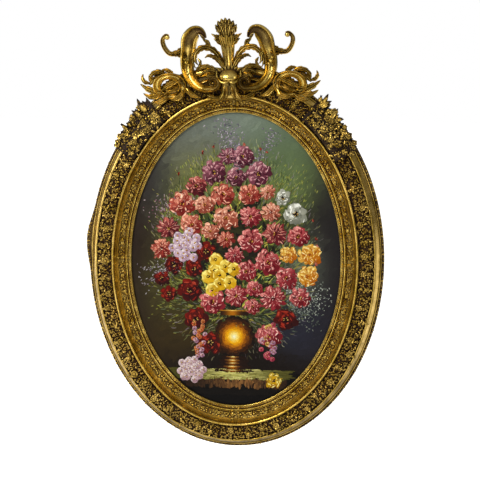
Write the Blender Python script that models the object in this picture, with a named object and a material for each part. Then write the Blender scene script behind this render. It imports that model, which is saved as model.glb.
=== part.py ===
"""Oval gilt frame with a pierced crest, holding an oil painting on stretched canvas.

Metres, +Z up, the front facing -Y. The origin is the hanging point, on the flat back of
the frame at its top centre, so the wall plane is y = 0 and heights are measured from it
towards the viewer. Offsets are measured outward, square to the sight edge.
"""
import math
import random

import bmesh
import bpy
from mathutils import Vector

for old in list(bpy.data.objects):
    bpy.data.objects.remove(old, do_unlink=True)

# Painting: an oval canvas on a wooden strainer.
CANVAS_WIDTH = 0.500
CANVAS_HEIGHT = 0.700
CANVAS_THICKNESS = 0.0015
STRAINER_BAR = 0.045
STRAINER_THICKNESS = 0.0155
CANVAS_TURN = 0.0015
CROSSBAR_INSET = 0.003

# Rebate that takes the painting, and the gap left between separate pieces.
SIGHT_LIP = 0.005
REBATE_PLAY = 0.002
PIECE_GAP = 0.0003

# Widths of the mouldings, in order from the sight edge outward.
SIGHT_BEAD_WIDTH = 0.009
FILLET_WIDTH = 0.005
LEAF_BAND_WIDTH = 0.017
COVE_WIDTH = 0.005
RIDGE_WIDTH = 0.007
FLORAL_WIDTH = 0.034
OUTER_COVE_WIDTH = 0.016
EDGE_WIDTH = 0.0077

# Heights of the mouldings above the wall.
SIGHT_HEIGHT = 0.0275
LEAF_BAND_HEIGHT = 0.0315
COVE_HEIGHT = 0.0475
RIDGE_HEIGHT = 0.053
FLORAL_FLOOR = 0.046
FLORAL_OUTER_FLOOR = 0.041
FLORAL_CROWN = 0.006
FLOWER_RISE = 0.006
FILLET_RISE = 0.002
EDGE_HEIGHT = 0.020
EDGE_GROOVE_HEIGHT = 0.0175
EDGE_SIDE_HEIGHT = 0.013

# The border widens a little where the left side bulges.
SWELL_RISE = 0.009
SWELL_HALF_LENGTH = 0.072
SWELL_CENTRE_HEIGHT = 0.038

# Counts round the oval.
RING_STATIONS = 72
FLOWERS_ROUND = 48
QUARTERS = 4

# Grain of the carved pieces and the number of facets each is pared down to.
CARVING_GRAIN = 0.0016
CREST_TRIANGLES = 2400
SPRAY_TRIANGLES = 390

# Flower and leaf sprays over the shoulders.
SPRAY_FROM_DEG = 38.0
SPRAY_RIGHT_TO_DEG = 60.0
SPRAY_LEFT_TO_DEG = 58.5
SPRAY_LOW_REACH = 0.006
SPRAY_HIGH_REACH = 0.028
SPRAY_HEIGHT = 0.060
SPRAY_EDGE_HEIGHT = 0.044
SPRAY_LEAVES = 8
SPRAY_FLOWERS = 5
FLOWER_RADIUS = 0.012
SPRAY_LEAF_HALF_WIDTH = 0.009

# Crest: distances up from the sight edge at the top, and out from its middle line. Its
# curves are drawn on a grid of the unit below.
CREST_UNIT = 0.001
PLUME_TOP = 0.223
STEM_FOOT = 0.103
STEM_HALF_WIDTH = 0.015
SCROLL_FRONT_HEIGHT = 0.048
VOLUTE_HEIGHT = 0.063
VOLUTE_OUT = 0.038
VOLUTE_UP = 0.069
VOLUTE_RADIUS = 0.0145
SHELL_HEIGHT = 0.067
LOOP_OUT = 0.142
LOOP_UP = 0.062
LOOP_HALF_WIDTH = 0.032
LOOP_HALF_HEIGHT = 0.026
LOOP_BAND = 0.0078

# The crest is carved for a level seat, then set a little to the left and leaning left.
CREST_SHIFT = 0.007
CREST_LIFT = 0.0054
CREST_LEAN = 0.058
CREST_TILT = 0.027
CREST_SPREAD = 0.963
CREST_RISE = 0.935

# Derived sizes.
SIGHT_A = CANVAS_WIDTH / 2 - SIGHT_LIP
SIGHT_B = CANVAS_HEIGHT / 2 - SIGHT_LIP
REBATE_OFFSET = SIGHT_LIP + REBATE_PLAY
FILLET_AT = SIGHT_BEAD_WIDTH
LEAF_BAND_AT = FILLET_AT + FILLET_WIDTH
COVE_AT = LEAF_BAND_AT + LEAF_BAND_WIDTH
LINER_OUT = COVE_AT + COVE_WIDTH
RIDGE_AT = LINER_OUT + PIECE_GAP
FLORAL_AT = RIDGE_AT + RIDGE_WIDTH
OUTER_COVE_AT = FLORAL_AT + FLORAL_WIDTH
EDGE_AT = OUTER_COVE_AT + OUTER_COVE_WIDTH
FRAME_OUT = EDGE_AT + EDGE_WIDTH
STRAINER_FRONT = STRAINER_THICKNESS + CROSSBAR_INSET / 4
CANVAS_BACK = STRAINER_FRONT + PIECE_GAP
CANVAS_FRONT = CANVAS_BACK + CANVAS_THICKNESS
LINER_BACK = CANVAS_FRONT + PIECE_GAP
LEDGE_HEIGHT = CANVAS_FRONT
SEAT_HEIGHT = FLORAL_FLOOR + FLORAL_CROWN + FLOWER_RISE + 2 * PIECE_GAP
HANG_OFFSET = (REBATE_OFFSET + FRAME_OUT) / 2
HANG_HEIGHT = SIGHT_B + HANG_OFFSET

# Base colour, roughness and metallic share of each finish.
FINISHES = {
    "gilded_frame": ((0.42, 0.27, 0.06, 1.0), 0.38, 0.9),
    "gilded_liner": ((0.45, 0.30, 0.08, 1.0), 0.36, 0.9),
    "gilded_crest": ((0.40, 0.25, 0.05, 1.0), 0.36, 0.9),
    "gilded_spray": ((0.36, 0.22, 0.05, 1.0), 0.42, 0.9),
    "oil_paint": ((0.10, 0.09, 0.06, 1.0), 0.40, 0.0),
    "strainer_pine": ((0.55, 0.38, 0.20, 1.0), 0.70, 0.0),
}


def finish(slot):
    """Material of one finish, made on first use."""
    made = bpy.data.materials.get(slot)
    if made:
        return made
    colour, roughness, metallic = FINISHES[slot]
    made = bpy.data.materials.new(slot)
    made.use_nodes = True
    shader = made.node_tree.nodes["Principled BSDF"]
    shader.inputs["Base Color"].default_value = colour
    shader.inputs["Roughness"].default_value = roughness
    shader.inputs["Metallic"].default_value = metallic
    made.diffuse_color = colour
    return made


def place(x, z, height):
    """World position of a point given from the middle of the oval and the wall."""
    return Vector((x, -height, z - HANG_HEIGHT))


def oval_frame(angle):
    """Point of the sight edge at an angle, with its outward and forward directions."""
    point = Vector((SIGHT_A * math.cos(angle), SIGHT_B * math.sin(angle)))
    outward = Vector((math.cos(angle) / SIGHT_A, math.sin(angle) / SIGHT_B)).normalized()
    return point, outward, Vector((-outward.y, outward.x))


def oval_point(angle, offset):
    """Point at an offset outward from the sight edge."""
    point, outward, forward = oval_frame(angle)
    return point + outward * offset


def even_angles(count):
    """Angles that divide the middle line of the moulding into equal lengths."""
    fine = 7200
    marks = [oval_point(2 * math.pi * k / fine, FRAME_OUT / 2) for k in range(fine + 1)]
    lengths = [0.0]
    for before, after in zip(marks, marks[1:]):
        lengths.append(lengths[-1] + (after - before).length)
    angles = []
    cursor = 0
    for k in range(count):
        target = lengths[-1] * k / count
        while lengths[cursor + 1] < target:
            cursor += 1
        share = (target - lengths[cursor]) / (lengths[cursor + 1] - lengths[cursor])
        angles.append(2 * math.pi * (cursor + share) / fine)
    return angles


FINE_ANGLES = even_angles(2 * RING_STATIONS)
COARSE_ANGLES = FINE_ANGLES[::2]


def finished_object(name, bm, slot, smooth_deg=38.0):
    """Object made from a closed mesh, with outward faces and rounded parts smooth."""
    bmesh.ops.triangulate(bm, faces=[f for f in bm.faces if len(f.verts) > 4])
    bmesh.ops.recalc_face_normals(bm, faces=bm.faces)
    mesh = bpy.data.meshes.new(name)
    bm.to_mesh(mesh)
    bm.free()
    mesh.shade_smooth()
    mesh.set_sharp_from_angle(angle=math.radians(smooth_deg))
    mesh.materials.append(finish(slot))
    obj = bpy.data.objects.new(name, mesh)
    bpy.context.scene.collection.objects.link(obj)
    return obj


def join_rows(bm, inner, outer, closed=True):
    """Faces between two rows of vertices, of equal count or one twice as fine."""
    spans = min(len(inner), len(outer))
    if not closed:
        spans -= 1
    for k in range(spans):
        if len(inner) == len(outer):
            after = (k + 1) % len(inner)
            bm.faces.new((inner[k], inner[after], outer[after], outer[k]))
            continue
        coarse, fine = (inner, outer) if len(inner) < len(outer) else (outer, inner)
        after = coarse[(k + 1) % len(coarse)]
        first, middle, last = (fine[(2 * k + step) % len(fine)] for step in range(3))
        bm.faces.new((coarse[k], middle, first))
        bm.faces.new((coarse[k], after, middle))
        bm.faces.new((after, last, middle))


def outer_profile(relief):
    """Offsets and heights of the frame, from the ledge round the front to the back."""
    crest = FLORAL_FLOOR + relief
    return [
        (REBATE_OFFSET, 0.0),
        (REBATE_OFFSET, LEDGE_HEIGHT),
        (RIDGE_AT, LEDGE_HEIGHT),
        (RIDGE_AT, COVE_HEIGHT + FILLET_RISE / 2),
        (RIDGE_AT + RIDGE_WIDTH * 0.3, RIDGE_HEIGHT),
        (RIDGE_AT + RIDGE_WIDTH * 0.75, RIDGE_HEIGHT),
        (FLORAL_AT, FLORAL_FLOOR),
        (FLORAL_AT + FLORAL_WIDTH * 0.12, crest - FLORAL_CROWN * 0.3),
        (FLORAL_AT + FLORAL_WIDTH * 0.32, crest),
        (FLORAL_AT + FLORAL_WIDTH * 0.52, crest),
        (FLORAL_AT + FLORAL_WIDTH * 0.72, crest - FLORAL_CROWN * 0.2),
        (FLORAL_AT + FLORAL_WIDTH * 0.92, crest - FLORAL_CROWN * 0.8),
        (OUTER_COVE_AT, FLORAL_OUTER_FLOOR),
        (OUTER_COVE_AT + OUTER_COVE_WIDTH * 0.16, FLORAL_OUTER_FLOOR + FILLET_RISE),
        (OUTER_COVE_AT + OUTER_COVE_WIDTH * 0.34, FLORAL_OUTER_FLOOR - FILLET_RISE),
        (OUTER_COVE_AT + OUTER_COVE_WIDTH * 0.66, (FLORAL_OUTER_FLOOR + EDGE_HEIGHT) * 0.45),
        (EDGE_AT, EDGE_GROOVE_HEIGHT),
        (EDGE_AT + EDGE_WIDTH * 0.25, EDGE_HEIGHT),
        (EDGE_AT + EDGE_WIDTH * 0.7, EDGE_HEIGHT - FILLET_RISE / 2),
        (FRAME_OUT, EDGE_SIDE_HEIGHT),
        (FRAME_OUT, 0.0),
    ]


FINE_ROWS = range(7, 12)


def swell(angle, offset):
    """Extra reach of the border where the left side bulges."""
    point, outward, forward = oval_frame(angle)
    run = (point.y - SWELL_CENTRE_HEIGHT) / SWELL_HALF_LENGTH
    if point.x > 0 or abs(run) > 1 or offset <= EDGE_AT:
        return 0.0
    return SWELL_RISE * math.cos(run * math.pi / 2) ** 2


def flower_relief(station, row):
    """Height of the band's carving: a flower, then a pair of leaves, round and round."""
    per_flower = 2 * RING_STATIONS // FLOWERS_ROUND
    flower, step = divmod(station, per_flower)
    lean = 2 if flower % 2 else 3
    if step == 0:
        return FLORAL_CROWN + FLOWER_RISE * max(0.0, 1 - 0.45 * abs(row - lean))
    mirrored = row if step == 1 else 4 - row
    return FLORAL_CROWN * (0.95 if mirrored in (1, 3) else 0.0)


def frame_ring():
    """The frame's one-piece oval: ledge, ridge, carved band, cove and beaded border."""
    bm = bmesh.new()
    profile = outer_profile(FLORAL_CROWN)
    rows = []
    for index, (offset, height) in enumerate(profile):
        fine = index in FINE_ROWS
        row = []
        for station, angle in enumerate(FINE_ANGLES if fine else COARSE_ANGLES):
            point = oval_point(angle, offset + swell(angle, offset))
            rise = height
            if fine:
                rise += flower_relief(station, index - FINE_ROWS[0]) - FLORAL_CROWN
            row.append(bm.verts.new(place(point.x, point.y, rise)))
        rows.append(row)
    for index, row in enumerate(rows):
        join_rows(bm, row, rows[(index + 1) % len(rows)])
    return finished_object("frame_moulding", bm, "gilded_frame")


def liner_profile():
    """Offsets and heights of the inner moulding, from its back edge over the front."""
    return [
        (0.0, LINER_BACK),
        (0.0, SIGHT_HEIGHT - SIGHT_BEAD_WIDTH * 0.5),
        (SIGHT_BEAD_WIDTH * 0.28, SIGHT_HEIGHT),
        (SIGHT_BEAD_WIDTH * 0.72, SIGHT_HEIGHT),
        (FILLET_AT, SIGHT_HEIGHT - FILLET_RISE),
        (FILLET_AT + FILLET_WIDTH * 0.5, SIGHT_HEIGHT + FILLET_RISE),
        (LEAF_BAND_AT, SIGHT_HEIGHT - FILLET_RISE / 4),
        (COVE_AT - LEAF_BAND_WIDTH * 0.1, LEAF_BAND_HEIGHT),
        (COVE_AT + COVE_WIDTH * 0.4, (LEAF_BAND_HEIGHT + COVE_HEIGHT) / 2 - FILLET_RISE),
        (LINER_OUT, COVE_HEIGHT),
        (LINER_OUT, LINER_BACK),
    ]


def liner_quarter(name, quarter):
    """One quarter length of the inner moulding, butted to its neighbours at the axes."""
    per_quarter = RING_STATIONS // QUARTERS
    first = quarter * per_quarter
    bm = bmesh.new()
    rows = []
    for offset, height in liner_profile():
        row = []
        for step in range(per_quarter + 1):
            angle = COARSE_ANGLES[(first + step) % RING_STATIONS]
            point, outward, forward = oval_frame(angle)
            point += outward * offset
            if step == 0:
                point += forward * PIECE_GAP / 2
            if step == per_quarter:
                point -= forward * PIECE_GAP / 2
            row.append(bm.verts.new(place(point.x, point.y, height)))
        rows.append(row)
    for index, row in enumerate(rows):
        join_rows(bm, row, rows[(index + 1) % len(rows)], closed=False)
    bm.faces.new([row[0] for row in rows])
    bm.faces.new([row[-1] for row in rows])
    return finished_object(name, bm, "gilded_liner")


def oval_plate(offset, back, front):
    """Mesh of a flat oval plate between two heights."""
    bm = bmesh.new()
    loops = []
    for height in (back, front):
        points = [oval_point(angle, offset) for angle in COARSE_ANGLES]
        loops.append([bm.verts.new(place(p.x, p.y, height)) for p in points])
    join_rows(bm, loops[0], loops[1])
    bm.faces.new(loops[0])
    bm.faces.new(loops[1])
    return bm


def oval_band(inner, outer, back, front):
    """Mesh of a flat oval ring between two offsets and two heights."""
    bm = bmesh.new()
    loops = []
    for offset, height in ((inner, back), (inner, front), (outer, front), (outer, back)):
        points = [oval_point(angle, offset) for angle in COARSE_ANGLES[::2]]
        loops.append([bm.verts.new(place(p.x, p.y, height)) for p in points])
    for index, loop in enumerate(loops):
        join_rows(bm, loop, loops[(index + 1) % len(loops)])
    return bm


def block(half_x, half_z, back, front):
    """Mesh of a box centred on the oval between two heights."""
    bm = bmesh.new()
    bmesh.ops.create_cube(bm, size=1.0)
    for vert in bm.verts:
        height = back if vert.co.y > 0 else front
        vert.co = place(2 * vert.co.x * half_x, 2 * vert.co.z * half_z, height)
    return bm


def bake_modifiers(obj):
    """Replace the object's mesh by the result of its modifiers."""
    shaped = obj.evaluated_get(bpy.context.evaluated_depsgraph_get())
    mesh = bpy.data.meshes.new_from_object(shaped)
    obj.modifiers.clear()
    spare = obj.data
    obj.data = mesh
    bpy.data.meshes.remove(spare)


def combine(base, other, operation):
    """Apply one exact Boolean to the base object and drop the other object."""
    modifier = base.modifiers.new(operation.lower(), "BOOLEAN")
    modifier.operation = operation
    modifier.solver = "EXACT"
    modifier.object = other
    bake_modifiers(base)
    bpy.data.objects.remove(other, do_unlink=True)


def largest_body(bm):
    """Drop all but the largest body that hangs together."""
    left = set(bm.verts)
    pieces = []
    while left:
        piece = {left.pop()}
        reached = list(piece)
        while reached:
            for edge in reached.pop().link_edges:
                fresh = left.intersection(edge.verts)
                left -= fresh
                piece |= fresh
                reached += fresh
        pieces.append(piece)
    largest = max(pieces, key=len)
    crumbs = [vert for vert in bm.verts if vert not in largest]
    bmesh.ops.delete(bm, geom=crumbs, context="VERTS")


def carved(name, bodies, slot, triangles):
    """One closed body melted from overlapping ones and pared down to plain facets."""
    whole = bmesh.new()
    for body in bodies:
        mesh = bpy.data.meshes.new(name)
        body.to_mesh(mesh)
        body.free()
        whole.from_mesh(mesh)
        bpy.data.meshes.remove(mesh)
    obj = finished_object(name, whole, slot)
    melt = obj.modifiers.new("melt", "REMESH")
    melt.mode = "VOXEL"
    melt.voxel_size = CARVING_GRAIN
    bake_modifiers(obj)
    pare = obj.modifiers.new("pare", "DECIMATE")
    pare.ratio = triangles / (2 * len(obj.data.polygons))
    bake_modifiers(obj)
    return obj


def settle(obj, smooth_deg=38.0):
    """Keep the main body as triangles and set its shading again."""
    bm = bmesh.new()
    bm.from_mesh(obj.data)
    largest_body(bm)
    bmesh.ops.triangulate(bm, faces=bm.faces)
    bm.to_mesh(obj.data)
    bm.free()
    obj.data.shade_smooth()
    obj.data.set_sharp_from_angle(angle=math.radians(smooth_deg))


def smooth_path(marks, per_span):
    """Stations along a smooth curve through the marks, each a tuple of five sizes."""
    marks = [Vector(mark) for mark in marks]
    run = [marks[0] * 2 - marks[1]] + marks + [marks[-1] * 2 - marks[-2]]
    stations = []
    for a, b, c, d in zip(run, run[1:], run[2:], run[3:]):
        for step in range(per_span):
            t = step / per_span
            stations.append(
                b + (c - a) * (t / 2)
                + (a - b * 2.5 + c * 2 - d * 0.5) * t ** 2
                + (b * 1.5 - a * 0.5 - c * 1.5 + d * 0.5) * t ** 3
            )
    stations.append(marks[-1])
    return stations


ROUND_SECTION = [(-1, 0), (-0.6, 0.8), (0.6, 0.8), (1, 0), (0.6, -0.8), (-0.6, -0.8)]
LEAF_SECTION = [(-1, 0.1), (0, 1), (1, 0.1), (0, -0.9)]
CHANNEL_SECTION = [(-1, -0.8), (-1, 0.5), (-0.78, 1), (-0.4, 0.1), (0.4, 0.1), (0.78, 1), (1, 0.5), (1, -0.8)]


def fluted_section(flutes):
    """Section of a stem with upright flutes on its front."""
    points = []
    for k in range(2 * flutes + 1):
        angle = math.pi * k / (2 * flutes)
        reach = 1.0 if k % 2 == 0 else 0.72
        points.append((-math.cos(angle), reach * math.sin(angle)))
    return points + [(0.8, -0.6), (-0.8, -0.6)]


def sweep(marks, section, per_span=2, closed=False, unit=1.0):
    """Mesh swept in the plane of the wall.

    Each mark is x, z, height, half width and half depth in the given unit, with x from
    the middle line and z up from the sight edge at the top.
    """
    stations = [station * unit for station in smooth_path(marks, per_span)]
    if closed:
        stations = stations[:-1]
    bm = bmesh.new()
    rows = []
    count = len(stations)
    for k, (x, z, height, width, depth) in enumerate(stations):
        after = stations[(k + 1) % count if closed else min(k + 1, count - 1)]
        before = stations[k - 1 if closed or k else 0]
        along = Vector((after[0] - before[0], after[1] - before[1])).normalized()
        side = Vector((along.y, -along.x))
        row = []
        for u, v in section:
            px = x + side.x * u * width
            pz = z + side.y * u * width
            row.append(bm.verts.new(place(px, SIGHT_B + pz, height + v * depth)))
        rows.append(row)
    for before, after in zip(rows, rows[1:]):
        join_rows(bm, before, after)
    if closed:
        join_rows(bm, rows[-1], rows[0])
    else:
        bm.faces.new(rows[0])
        bm.faces.new(rows[-1])
    return bm


def crest_sweep(marks, section, per_span=2, closed=False):
    """Sweep one body of the crest, set left of the middle line and leaning left."""
    set_marks = []
    for x, z, height, width, depth in marks:
        across = CREST_SPREAD * x - CREST_LEAN * z - steps(CREST_SHIFT)
        up = CREST_RISE * z + CREST_TILT * x + steps(CREST_LIFT)
        set_marks.append((across, up, height, width, depth))
    return sweep(set_marks, section, per_span, closed, CREST_UNIT)


def mirrored(marks):
    """The same marks on the other side of the middle line."""
    return [(-x, z, height, width, depth) for x, z, height, width, depth in marks]


def steps(length):
    """A length counted in steps of the crest's drawing."""
    return length / CREST_UNIT


def scroll_marks():
    """Big C-scroll, from its curled tip over the top and down into the volute."""
    front = steps(SCROLL_FRONT_HEIGHT)
    turns = [
        (57, 181, front + 6, 4, 6),
        (62, 193, front + 6, 9, 9),
        (76, 191, front + 3, 15.5, 11),
        (89, 174, front, 18.5, 12),
        (94, 153, front - 4, 17, 12),
        (99, 130, front - 8, 15, 12),
        (99, 105, front - 6, 14.5, 13),
        (94, 84, front - 1, 13, 13),
        (81, 67, front + 6, 11.5, 13),
        (62, 56, steps(VOLUTE_HEIGHT) - 2, 9.5, 12),
    ]
    for k in range(7):
        angle = math.radians(-95 - 55 * k)
        reach = steps(VOLUTE_RADIUS) * (1 - 0.12 * k)
        x = steps(VOLUTE_OUT) + reach * math.cos(angle)
        z = steps(VOLUTE_UP) + reach * math.sin(angle)
        turns.append((x, z, steps(VOLUTE_HEIGHT) + 1 * k, 6.5 - 0.5 * k, 10))
    return turns


def crest_bodies():
    """All the overlapping bodies that the crest is carved from."""
    spray_x = steps(LOOP_OUT) + steps(LOOP_HALF_WIDTH)
    stem = [
        (0, steps(STEM_FOOT), 43, steps(STEM_HALF_WIDTH), 11),
        (0, steps(STEM_FOOT) + 30, 41, steps(STEM_HALF_WIDTH) * 1.05, 11),
        (0, steps(STEM_FOOT) + 58, 42, steps(STEM_HALF_WIDTH) * 1.2, 11),
        (0, steps(STEM_FOOT) + 80, 47, steps(STEM_HALF_WIDTH) * 1.45, 12),
        (0, steps(PLUME_TOP) - 22, 54, steps(STEM_HALF_WIDTH) * 1.6, 11),
        (0, steps(PLUME_TOP) - 9, 61, steps(STEM_HALF_WIDTH) * 1.15, 9),
        (0, steps(PLUME_TOP), 68, steps(STEM_HALF_WIDTH) * 0.45, 5),
    ]
    core = [
        (0, 50, 50, 24, 15),
        (0, 85, 48, 27, 15),
        (0, steps(STEM_FOOT) + 8, 36, 19, 10),
    ]
    shell = [
        (-25, 84, steps(SHELL_HEIGHT) - 8, 4, 5),
        (-14, 79, steps(SHELL_HEIGHT), 10, 9),
        (0.0, 80, steps(SHELL_HEIGHT) - 1, 7.5, 9),
        (14, 79, steps(SHELL_HEIGHT), 10, 9),
        (25, 84, steps(SHELL_HEIGHT) - 8, 4, 5),
    ]
    shield = [
        (0, 72, 56, 20, 10),
        (0, 60, 56, 18, 10),
        (0, 47, 56, 20, 9),
        (0, 36, 56, 28, 6),
    ]
    bodies = [
        crest_sweep(core, ROUND_SECTION),
        crest_sweep(stem, fluted_section(4), 1),
        crest_sweep(shell, ROUND_SECTION),
        crest_sweep(shield, CHANNEL_SECTION, 1),
    ]
    hook = [
        (106, 150, 42, 9, 9),
        (122, 141, 42, 6, 7),
        (139, 141, 42, 5, 6),
        (151, 156, 42, 4.8, 6),
        (154, 173, 44, 4.2, 5),
        (146, 184, 46, 4.2, 5),
        (137, 178, 47, 6, 6),
    ]
    barb = [
        (6, 170, 50, 8, 6),
        (22, 179, 52, 6, 5),
        (34, 190, 54, 1, 2),
    ]
    long_leaf = [
        (8, 104, 44, 6, 7),
        (22, 132, 46, 8, 7),
        (39, 150, 50, 9, 7),
        (60, 153, 53, 8, 7),
        (76, 140, 52, 6, 6),
        (79, 124, 50, 4, 5),
        (74, 114, 50, 1, 2),
    ]
    short_leaf = [
        (12, 104, 48, 6, 6),
        (28, 126, 52, 7, 6),
        (44, 134, 54, 5, 5),
        (53, 128, 53, 1, 2),
    ]
    strand = [
        (60, 184, 52, 5, 5),
        (51, 167, 50, 4, 5),
        (38, 151, 48, 5, 5),
    ]
    back_leaf = [
        (14, 94, 36, 10, 9),
        (50, 96, 34, 10, 10),
        (92, 86, 32, 9, 9),
    ]
    strap = [
        (108, 80, 48, 10, 7),
        (140, 63, 52, 15, 7),
        (170, 50, 48, 9, 7),
    ]
    bridge = [
        (94, 92, 40, 10, 9),
        (118, 78, 46, 9, 9),
    ]
    tip_leaf = [
        (spray_x - 20, 46, 46, 9, 8),
        (spray_x + 12, 52, 46, 10, 7),
        (spray_x + 38, 65, 46, 1, 2),
    ]
    out, up = steps(LOOP_OUT), steps(LOOP_UP)
    reach = (steps(LOOP_HALF_WIDTH), steps(LOOP_HALF_HEIGHT), steps(LOOP_BAND))
    loops = []
    for out, up, half_x, half_z, band, height in (
        (out, up, *reach, 50),
        (out + 30, up + 17, 15.5, 13.5, 3.8, 44),
    ):
        marks = []
        for k in range(13):
            angle = 2 * math.pi * k / 12
            x = out + half_x * math.cos(angle)
            z = up + half_z * math.sin(angle)
            marks.append((x, z, height + 4 * math.sin(angle), band, 7.5))
        loops.append(marks)
    pairs = [
        (scroll_marks(), CHANNEL_SECTION, 1, False),
        (hook, ROUND_SECTION, 1, False),
        (barb, LEAF_SECTION, 1, False),
        (long_leaf, LEAF_SECTION, 2, False),
        (short_leaf, LEAF_SECTION, 1, False),
        (strand, LEAF_SECTION, 1, False),
        (back_leaf, ROUND_SECTION, 1, False),
        (bridge, ROUND_SECTION, 1, False),
        (strap, ROUND_SECTION, 1, False),
        (tip_leaf, LEAF_SECTION, 1, False),
        (loops[0], LEAF_SECTION, 1, True),
        (loops[1], LEAF_SECTION, 1, True),
    ]
    for marks, section, per_span, closed in pairs:
        bodies.append(crest_sweep(marks, section, per_span, closed))
        bodies.append(crest_sweep(mirrored(marks), section, per_span, closed))
    return bodies


def seat_line():
    """Offsets and heights just clear of the frame's front, from the leaf band outward."""
    clear = 2 * PIECE_GAP
    return [
        (COVE_AT, LEAF_BAND_HEIGHT + clear),
        (LINER_OUT - COVE_WIDTH * 0.4, RIDGE_HEIGHT + clear),
        (FLORAL_AT, RIDGE_HEIGHT + clear),
        (FLORAL_AT + FLORAL_WIDTH * 0.08, SEAT_HEIGHT),
        (OUTER_COVE_AT, SEAT_HEIGHT),
        (OUTER_COVE_AT + OUTER_COVE_WIDTH * 0.2, FLORAL_OUTER_FLOOR + FILLET_RISE + clear),
        (OUTER_COVE_AT + OUTER_COVE_WIDTH * 0.7, (FLORAL_OUTER_FLOOR + EDGE_HEIGHT) * 0.45 + clear),
        (EDGE_AT, EDGE_HEIGHT + clear),
        (FRAME_OUT + clear, EDGE_HEIGHT + clear),
    ]


def seat_cutter():
    """Body that fills the frame and its inner moulding with a gap to spare."""
    bm = bmesh.new()
    line = [(-STRAINER_BAR / 2, -STRAINER_BAR), (-STRAINER_BAR / 2, LEAF_BAND_HEIGHT)]
    line += seat_line()
    line += [(FRAME_OUT + 2 * PIECE_GAP, -STRAINER_BAR)]
    rows = []
    for offset, height in line:
        points = [oval_point(angle, offset) for angle in FINE_ANGLES]
        rows.append([bm.verts.new(place(p.x, p.y, height)) for p in points])
    for index, row in enumerate(rows):
        join_rows(bm, row, rows[(index + 1) % len(rows)])
    return finished_object("seat_cutter", bm, "gilded_frame")


def flower_body(x, z, height, radius, petals, turn):
    """Low flower with pointed petals and a raised eye."""
    bm = bmesh.new()
    rim = []
    for k in range(2 * petals):
        angle = turn + math.pi * k / petals
        reach = radius if k % 2 == 0 else radius * 0.68
        drop = 0.2 if k % 2 == 0 else 0.0
        spot = (x + reach * math.cos(angle), z + reach * math.sin(angle))
        rim.append(bm.verts.new(place(spot[0], spot[1], height - drop * radius)))
    eye = bm.verts.new(place(x, z, height + radius * 0.45))
    back = bm.verts.new(place(x, z, height - radius * 0.3))
    for k, vert in enumerate(rim):
        after = rim[(k + 1) % len(rim)]
        bm.faces.new((vert, after, eye))
        bm.faces.new((after, vert, back))
    return bm


def spray_mound(side, to_deg, chance):
    """Bed of the spray: its underside follows the frame, its outer edge is ragged."""
    seat = seat_line()[3:]
    stations = 2 * SPRAY_LEAVES - 1
    bm = bmesh.new()
    rows = []
    for k in range(stations):
        share = k / (stations - 1)
        angle = math.radians(SPRAY_FROM_DEG + (to_deg - SPRAY_FROM_DEG) * share)
        reach = SPRAY_LOW_REACH + (SPRAY_HIGH_REACH - SPRAY_LOW_REACH) * share
        edge = FRAME_OUT + reach * (0.85 if k % 2 else 0.45)
        bump = chance.uniform(-0.0015, 0.0015)
        line = seat + [
            (edge, SPRAY_EDGE_HEIGHT * 0.75),
            (edge - reach * 0.2, SPRAY_EDGE_HEIGHT + bump),
            (EDGE_AT - bump, SPRAY_HEIGHT - 0.008),
            (OUTER_COVE_AT + bump, SPRAY_HEIGHT + 0.002),
            (FLORAL_AT + FLORAL_WIDTH * 0.4, SPRAY_HEIGHT + 0.002 + bump),
        ]
        row = []
        for offset, height in line:
            point = oval_point(angle, offset)
            row.append(bm.verts.new(place(side * point.x, point.y, height)))
        rows.append(row)
    for before, after in zip(rows, rows[1:]):
        join_rows(bm, before, after)
    bm.faces.new(rows[0])
    bm.faces.new(rows[-1])
    return bm


# Length along the leaf, then rise, half width and half depth as shares of its half width.
SPRAY_LEAF_MARKS = [(0, 0.75, 0.55, 0.55), (0.55, 0.35, 1.0, 0.65), (1.0, -0.65, 0.1, 0.2)]


def spray(name, side, to_deg, seed):
    """Spray of leaves and flowers laid over one shoulder of the frame."""
    chance = random.Random(seed)
    bodies = [spray_mound(side, to_deg, chance)]
    for k in range(SPRAY_LEAVES):
        share = k / (SPRAY_LEAVES - 1)
        angle = math.radians(SPRAY_FROM_DEG + 0.8 + (to_deg - SPRAY_FROM_DEG - 1.6) * share)
        reach = SPRAY_LOW_REACH + (SPRAY_HIGH_REACH - SPRAY_LOW_REACH) * share
        point, outward, forward = oval_frame(angle)
        lean = math.radians(chance.uniform(-35, 20))
        outward = outward * math.cos(lean) + forward * math.sin(lean)
        base = oval_point(angle, OUTER_COVE_AT)
        length = FRAME_OUT + reach - OUTER_COVE_AT
        height = SPRAY_EDGE_HEIGHT + chance.uniform(0.1, 0.8) * SPRAY_LEAF_HALF_WIDTH
        leaf = []
        for run, rise, width, depth in SPRAY_LEAF_MARKS:
            spot = base + outward * length * run
            sizes = Vector((rise, width, depth)) * SPRAY_LEAF_HALF_WIDTH
            leaf.append((side * spot.x, spot.y - SIGHT_B, height + sizes.x, sizes.y, sizes.z))
        bodies.append(sweep(leaf, LEAF_SECTION, 1))
    for k in range(SPRAY_FLOWERS):
        share = (k + 0.5) / SPRAY_FLOWERS
        angle = math.radians(SPRAY_FROM_DEG + (to_deg - SPRAY_FROM_DEG) * share)
        point = oval_point(angle, FLORAL_AT + FLORAL_WIDTH * (0.42 if k % 2 else 0.84))
        height = SPRAY_HEIGHT + (0.0030 if k % 2 else 0.0024)
        turn = chance.uniform(0, 1)
        bodies.append(flower_body(side * point.x, point.y, height, FLOWER_RADIUS, 5, turn))
    return carved(name, bodies, "gilded_spray", SPRAY_TRIANGLES)


frame_ring()
for quarter, place_name in enumerate(("upper_right", "upper_left", "lower_left", "lower_right")):
    liner_quarter("liner_" + place_name, quarter)

finished_object("canvas", oval_plate(SIGHT_LIP, CANVAS_BACK, CANVAS_FRONT), "oil_paint")

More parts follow.
